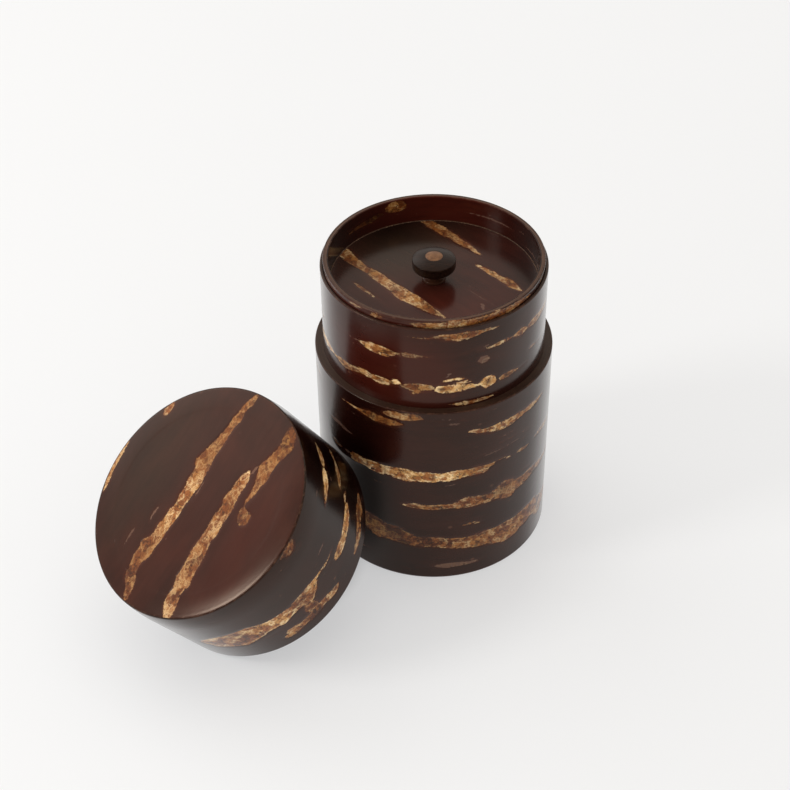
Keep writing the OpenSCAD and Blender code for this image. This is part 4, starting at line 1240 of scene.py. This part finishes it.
# -------------------------------------------------------- inner lid pieces
ra, rb = RING_IN + BARK, RING_R - BARK
prof = (line((ra, RING_TOP - 0.03), (rb, RING_TOP - 0.03), 0.15)
        + line((rb, RING_TOP - 0.03), (rb, RING_FOOT), 8)
        + line((rb, RING_FOOT), (ra, RING_FOOT), 0.3)
        + line((ra, RING_FOOT), (ra, RING_TOP - 0.03), 8))
add(tube_piece("inner_lid_ring_edge", prof, 360, 8, RING_TOP - 0.03, 0.008), VENEER_RING, "inner_lid", "inner_lid_ring")

prof = (arc((RING_R - 0.3, RING_TOP - 0.3), 0.3, 90, 0, 5)[:-1]
        + line((RING_R, RING_TOP - 0.3), (RING_R, RING_FOOT + 0.2), 0.5)
        + arc((RING_R - 0.2, RING_FOOT + 0.2), 0.2, 0, -90, 3)
        + [(RING_R - BARK, RING_FOOT), (RING_R - BARK, RING_TOP)])
add(wall_sheet("inner_lid_outer_sheet", prof, 456, FRONT, RING_R, RING_OUT, 127, BACK, (RING_R - 0.02, RING_R + 1), rims=(RING_TOP - 0.1, RING_FOOT)),
    BARK_WALL, "inner_lid", "inner_lid_outer_bark")

prof = ([(RING_IN + BARK, DISC_TOP), (RING_IN + BARK, RING_TOP)]
        + arc((RING_IN + 0.3, RING_TOP - 0.3), 0.3, 90, 180, 5)[:-1]
        + line((RING_IN, RING_TOP - 0.3), (RING_IN, DISC_TOP), 0.5)
        + [(RING_IN, DISC_TOP)])
add(wall_sheet("inner_lid_inner_sheet", prof, 432, math.pi / 2, RING_IN, RING_INSIDE, 131, math.radians(-80), (RING_IN - 1, RING_IN + 0.02), inner=True, rims=(RING_TOP - 0.1,)),
    BARK_RING, "inner_lid", "inner_lid_inner_bark")

ra = RING_IN + BARK
prof = (line((PEG_R, DISC_TOP), (ra, DISC_TOP), 0.5)
        + [(ra, DISC_TOP), (ra, DISC_TOP - BARK)]
        + line((ra, DISC_TOP - BARK), (PEG_R, DISC_TOP - BARK), 12)[1:]
        + [(PEG_R, DISC_TOP - BARK)])
add(annulus_sheet("inner_lid_disc_sheet", prof, 420, DISC_TOP, 1, math.radians(-46.5), DISC, 137, RING_IN, PEG_R),
    BARK_SUNK, "inner_lid", "inner_lid_top_bark")

z0, z1 = DISC_TOP - 2 * BARK - DISC_T, DISC_TOP - BARK - DISC_T
prof = (line((ra, z0), (PEG_R, z0), 0.7)
        + [(PEG_R, z0), (PEG_R, z1)]
        + line((PEG_R, z1), (ra, z1), 12)[1:]
        + [(ra, z1)])
add(annulus_sheet("inner_lid_under_sheet", prof, 300, z0, -1, 0.8, UNDER_STREAKS, 139, ra, PEG_R),
    BARK_DISC, "inner_lid", "inner_lid_under_bark")

bead = (arc((RING_IN - 0.02, DISC_TOP - 0.02), 0.26, 180, 90, 6)
        + [(RING_IN + 0.04, DISC_TOP - 0.04), (RING_IN - 0.30, DISC_TOP - 0.04)])
add(turned_piece("inner_lid_bead", bead, 420, 17, 0.03), BEAD, "inner_lid", "inner_lid_inner_bark")

k, h = KNOB_R, KNOB_H


def kz(pts):
    return [(a, DISC_TOP + b) for a, b in pts]


prof = kz(
    [(0.0, 0.5 * h), (PEG_R, 0.5 * h), (PEG_R, 0.0)]
    + bez((0.525 * k, 0), (0.567 * k, 0.027 * h), (0.545 * k, 0.09 * h), (0.448 * k, 0.106 * h), 10)
    + bez((0.448 * k, 0.106 * h), (0.35 * k, 0.127 * h), (0.35 * k, 0.233 * h), (0.434 * k, 0.296 * h), 14)
    + bez((0.434 * k, 0.296 * h), (0.587 * k, 0.402 * h), (0.965 * k, 0.413 * h), (k, 0.582 * h), 22)
    + line((k, 0.582 * h), (k, 0.794 * h), 0.25)
    + bez((k, 0.794 * h), (k, 0.836 * h), (0.972 * k, 0.852 * h), (0.923 * k, 0.862 * h), 8)
    + bez((0.923 * k, 0.862 * h), (0.755 * k, 0.915 * h), (0.56 * k, 0.952 * h), (PLUG_R, 0.965 * h), 14)
    + [(PLUG_R, 0.965 * h), (PLUG_R, 0.836 * h), (0.0, 0.836 * h)]
)
add(turned_piece("knob_turned", prof, 192, 11, 0.012), KNOB, "inner_lid", "knob")
prof = kz([(0.0, 0.836 * h), (PLUG_R - 0.03, 0.836 * h)]
          + bez((PLUG_R - 0.03, 0.962 * h), (0.7 * PLUG_R, 0.985 * h), (0.4 * PLUG_R, h), (0, h), 12)
          + [(0.0, h)])
add(turned_piece("knob_plug_round", prof, 128, 12), PLUG, "inner_lid", "knob_plug")
prof = [(0.0, z0), (PEG_R - 0.15, z0), (PEG_R, z0 + 0.15), (PEG_R, DISC_TOP + 0.5 * h), (0.0, DISC_TOP + 0.5 * h)]
add(turned_piece("knob_peg_round", prof, 64, 13), PEG, "inner_lid", "knob_peg")

# -------------------------------------------------------- outer lid pieces
z1 = LID_H - LID_TOP_T
zs = list(np.arange(z1, SOFT, -0.5))
side = [(float(wall_r(z)), float(z)) for z in zs]
w1 = float(wall_r(z1))
prof = ([(w1 - BARK, z1 + 0.5)]
        + bez((w1 - BARK, z1 + 0.5), (w1 - 0.30, z1 + 0.47), (w1 - 0.05, z1 + 0.3), (w1, z1), 6)[1:]
        + side
        + arc((R - SOFT, SOFT), SOFT, 0, -90, 5)
        + [(R - BARK, 0.0)]
        + [(float(wall_r(z)) - BARK, float(z)) for z in (10, 20, 30.1, 33, 36, 38, z1)])
r_, t_, z_ = None, None, None


def lid_wall_sheet():
    n = 504
    seam = math.radians(-62)
    P = np.array(prof, float)
    r, t, z = ring_points(prof, n, seam)
    s = (t - seam) * R + wrap(np.array([seam]))[0] * R
    s = np.where(s > math.pi * R, s - 2 * math.pi * R, s)
    flat = np.column_stack([R * np.cos(t), R * np.sin(t), z])
    sd, tone, strength = field(LID_WALL, s, z)
    shown = r > wall_r(z) - 0.02
    depth = relief_depth(flat, (0.6, 0.6, 1.0), sd, strength, 149)
    cut = math.degrees(seam) / 180 * math.pi * R
    half = math.pi * R
    to_seam = np.abs(((s - cut + half) % (2 * half)) - half)
    depth = depth + 0.10 * smooth(0.55, 0.05, to_seam)
    edge = np.minimum(np.abs(z - LID_H + 0.5), z)
    depth = depth * np.where(shown, 1, 0) * smooth(0.0, 0.6, edge)
    rr = r - depth
    V = np.column_stack([rr * np.cos(t), rr * np.sin(t), z])
    attrs = {
        "sheet": flat,
        "streak": sd,
        "tint": np.column_stack([tone, strength, smooth(1.2, 0.1, to_seam)]),
        "rim": edge,
        "mood": mood("lid_bark_sheet", s, z),
    }
    return finish_mesh("lid_bark_sheet", V, ring_faces(len(prof), n), [], attrs, LID_PLACE)


add(lid_wall_sheet(), BARK_LID, "outer_lid", "lid_outer_bark")

zt = LID_H - LID_TOP_T
prof = (line((LID_IN + BARK, 0.03), (R - BARK, 0.03), 0.3)[::1]
        + [(R - BARK, 0.03)]
        + [(float(wall_r(z)) - BARK, float(z)) for z in (10, 20, 30.1, 33, 36, zt)]
        + [(LID_IN + BARK, zt)])
add(tube_piece("lid_tube_edge", prof[::-1], 360, 14, None, 0.0, LID_PLACE), VENEER, "outer_lid", "lid_core_tube")

prof = ([(LID_IN + BARK, LID_CEIL), (LID_IN, LID_CEIL)]
        + line((LID_IN, LID_CEIL), (LID_IN, 0.25), 0.8)[1:]
        + arc((LID_IN + 0.25, 0.25), 0.25, 180, 270, 4)
        + [(LID_IN + BARK, 0.0)])
add(wall_sheet("lid_lining_sheet", prof, 320, math.pi / 2, LID_IN, LINING, 151, math.radians(-84), (LID_IN - 1, LID_IN + 0.02), place=LID_PLACE, inner=True, rims=(0.0,)),
    BARK_IN, "outer_lid", "lid_lining_bark")

r1 = float(wall_r(zt)) - BARK
# its border falls away slightly before it rolls over
roll = [(r1 - 7 + 5.4 * i / 16, LID_H - 0.24 * (i / 16) ** 2) for i in range(16)]
roll += bez((r1, LID_H - 0.45), (r1 - 0.45, LID_H - 0.325), (r1 - 1.0, LID_H - 0.293), (r1 - 1.6, LID_H - 0.24), 10)[::-1]
prof = roll + [(r1, zt)]
add(disc_sheet("lid_top_sheet", 156, r1 - 7, LID_H, prof, zt, math.radians(9.5), LID_TOP, 157, LID_PLACE),
    BARK_DISC, "outer_lid", "lid_top_bark")

add(disc_sheet("lid_ceiling_sheet", 100, LID_IN, LID_CEIL, [(LID_IN + BARK, LID_CEIL), (LID_IN + BARK, LID_CEIL + BARK)], LID_CEIL + BARK, 1.1, CEILING_STREAKS, 163, LID_PLACE),
    BARK_DISC, "outer_lid", "lid_ceiling_bark")

# ------------------------------------------- nodes of the part that stay
for node in ("bottom_board", "inner_lid_board", "lid_top_board"):
    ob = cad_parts[node]
    ob.data.materials.clear()
    ob.data.materials.append(WOOD)


# ------------------------------------------------------ floor, light, camera
def floor():
    me = bpy.data.meshes.new("floor")
    s = 4.0
    me.from_pydata([(-s, -s, 0), (s, -s, 0), (s, s, 0), (-s, s, 0)], [], [(0, 1, 2, 3)])
    ob = bpy.data.objects.new("floor", me)
    bpy.context.scene.collection.objects.link(ob)
    m = Nodes("pale_floor")
    co = m.t.nodes.new("ShaderNodeTexCoord")
    P = co.outputs["Object"]
    big = m.noise(P, 1.6, 3, 0.5)
    fine = m.noise(P, 420.0, 2, 0.5)
    color = m.ramp(big, [(0.3, (0.415, 0.420, 0.422, 1)), (0.7, (0.435, 0.441, 0.444, 1))])
    rough = m.math("MULTIPLY_ADD", fine, 0.1, 0.75)
    # the floor glows a little of its own, which lifts the shadows cast on it
    m.bsdf.inputs["Emission Color"].default_value = (0.965, 0.975, 1.0, 1)
    # painted shadow: under the leaning lid the floor's colour and its glow are turned down
    x, y = m.split(P)[:2]
    u = m.math("MULTIPLY_ADD", m.math("ADD", x, 0.052), 20.9, m.math("MULTIPLY", m.math("ADD", y, 0.040), 18.3))
    v = m.math("MULTIPLY_ADD", m.math("ADD", x, 0.055), 22.7, m.math("MULTIPLY", m.math("ADD", y, 0.036), -25.9))
    e2 = m.math("ADD", m.math("MULTIPLY", u, u), m.math("MULTIPLY", v, v))
    color = m.vmath("SCALE", color, scale=m.step(e2, 0.15, 1.05, 0.6, 0.98))
    m.shade(color, rough, m.bump(fine, 0.10, 0.0002), 0.1, (1, 1, 1, 1))
    m.put(m.bsdf.inputs["Emission Strength"], m.step(e2, 0.15, 1.05, 0.12, 0.46))
    me.materials.append(m.mat)
    return ob


floor()


def area(name, place, aim, size, power, color):
    li = bpy.data.lights.new(name, "AREA")
    li.shape = "DISK"
    li.size = size
    li.energy = power
    li.color = color
    ob = bpy.data.objects.new(name, li)
    ob.location = place
    ob.rotation_mode = "QUATERNION"
    ob.rotation_quaternion = (Vector(aim) - Vector(place)).to_track_quat("-Z", "Y")
    bpy.context.scene.collection.objects.link(ob)
    return ob


area("light_back_left", (-1.15, 0.95, 1.25), (0, 0, 0.03), 1.8, 8.0, (1.0, 0.985, 0.96))
area("light_above", (0.15, 0.25, 1.7), (0, 0, 0.03), 1.6, 4.0, (1.0, 0.985, 0.96))

area("light_window_left", (-0.98, -0.34, 0.82), (-0.05, -0.04, 0.06), 0.32, 5.0, (1.0, 0.98, 0.95))

world = bpy.data.worlds.new("soft_room")
world.use_nodes = True
bg = world.node_tree.nodes["Background"]
wt = world.node_tree
way = wt.nodes.new("ShaderNodeTexCoord")
axes = wt.nodes.new("ShaderNodeSeparateXYZ")
wt.links.new(way.outputs["Generated"], axes.inputs[0])
warmer = wt.nodes.new("ShaderNodeValToRGB")
half = wt.nodes.new("ShaderNodeMath")
half.operation = "MULTIPLY_ADD"
half.inputs[1].default_value = 0.5
half.inputs[2].default_value = 0.5
wt.links.new(axes.outputs[0], half.inputs[0])
wt.links.new(half.outputs[0], warmer.inputs[0])
warmer.color_ramp.elements[0].position = 0.15
warmer.color_ramp.elements[0].color = (1.0, 0.975, 0.94, 1)
warmer.color_ramp.elements[1].position = 0.85
warmer.color_ramp.elements[1].color = (0.99, 0.92, 0.83, 1)
wt.links.new(warmer.outputs[0], bg.inputs["Color"])
bg.inputs["Strength"].default_value = 0.775
bpy.context.scene.world = world

scene = bpy.context.scene
scene.view_settings.view_transform = "Standard"
scene.view_settings.look = "None"
scene.view_settings.exposure = 0.0
scene.view_settings.gamma = 1.0

cam = bpy.data.cameras.new("camera")
cam.sensor_width = 36.0
cam.lens = 73.13
cam.clip_start, cam.clip_end = 0.02, 20
cam.dof.use_dof = False
cam_ob = bpy.data.objects.new("camera", cam)
scene.collection.objects.link(cam_ob)
yaw, pitch, roll_a = -0.0311, 0.6942, -0.0152
fwd = Vector((math.sin(yaw) * math.cos(pitch), math.cos(yaw) * math.cos(pitch), -math.sin(pitch)))
right = Vector((math.cos(yaw), -math.sin(yaw), 0))
up = right.cross(fwd)
cx = math.cos(roll_a) * right + math.sin(roll_a) * up
cy = -math.sin(roll_a) * right + math.cos(roll_a) * up
rot = Matrix((cx, cy, -fwd)).transposed().to_4x4()
cam_ob.matrix_world = Matrix.Translation(Vector((0.0, -0.428524, 0.406144))) @ rot
scene.camera = cam_ob
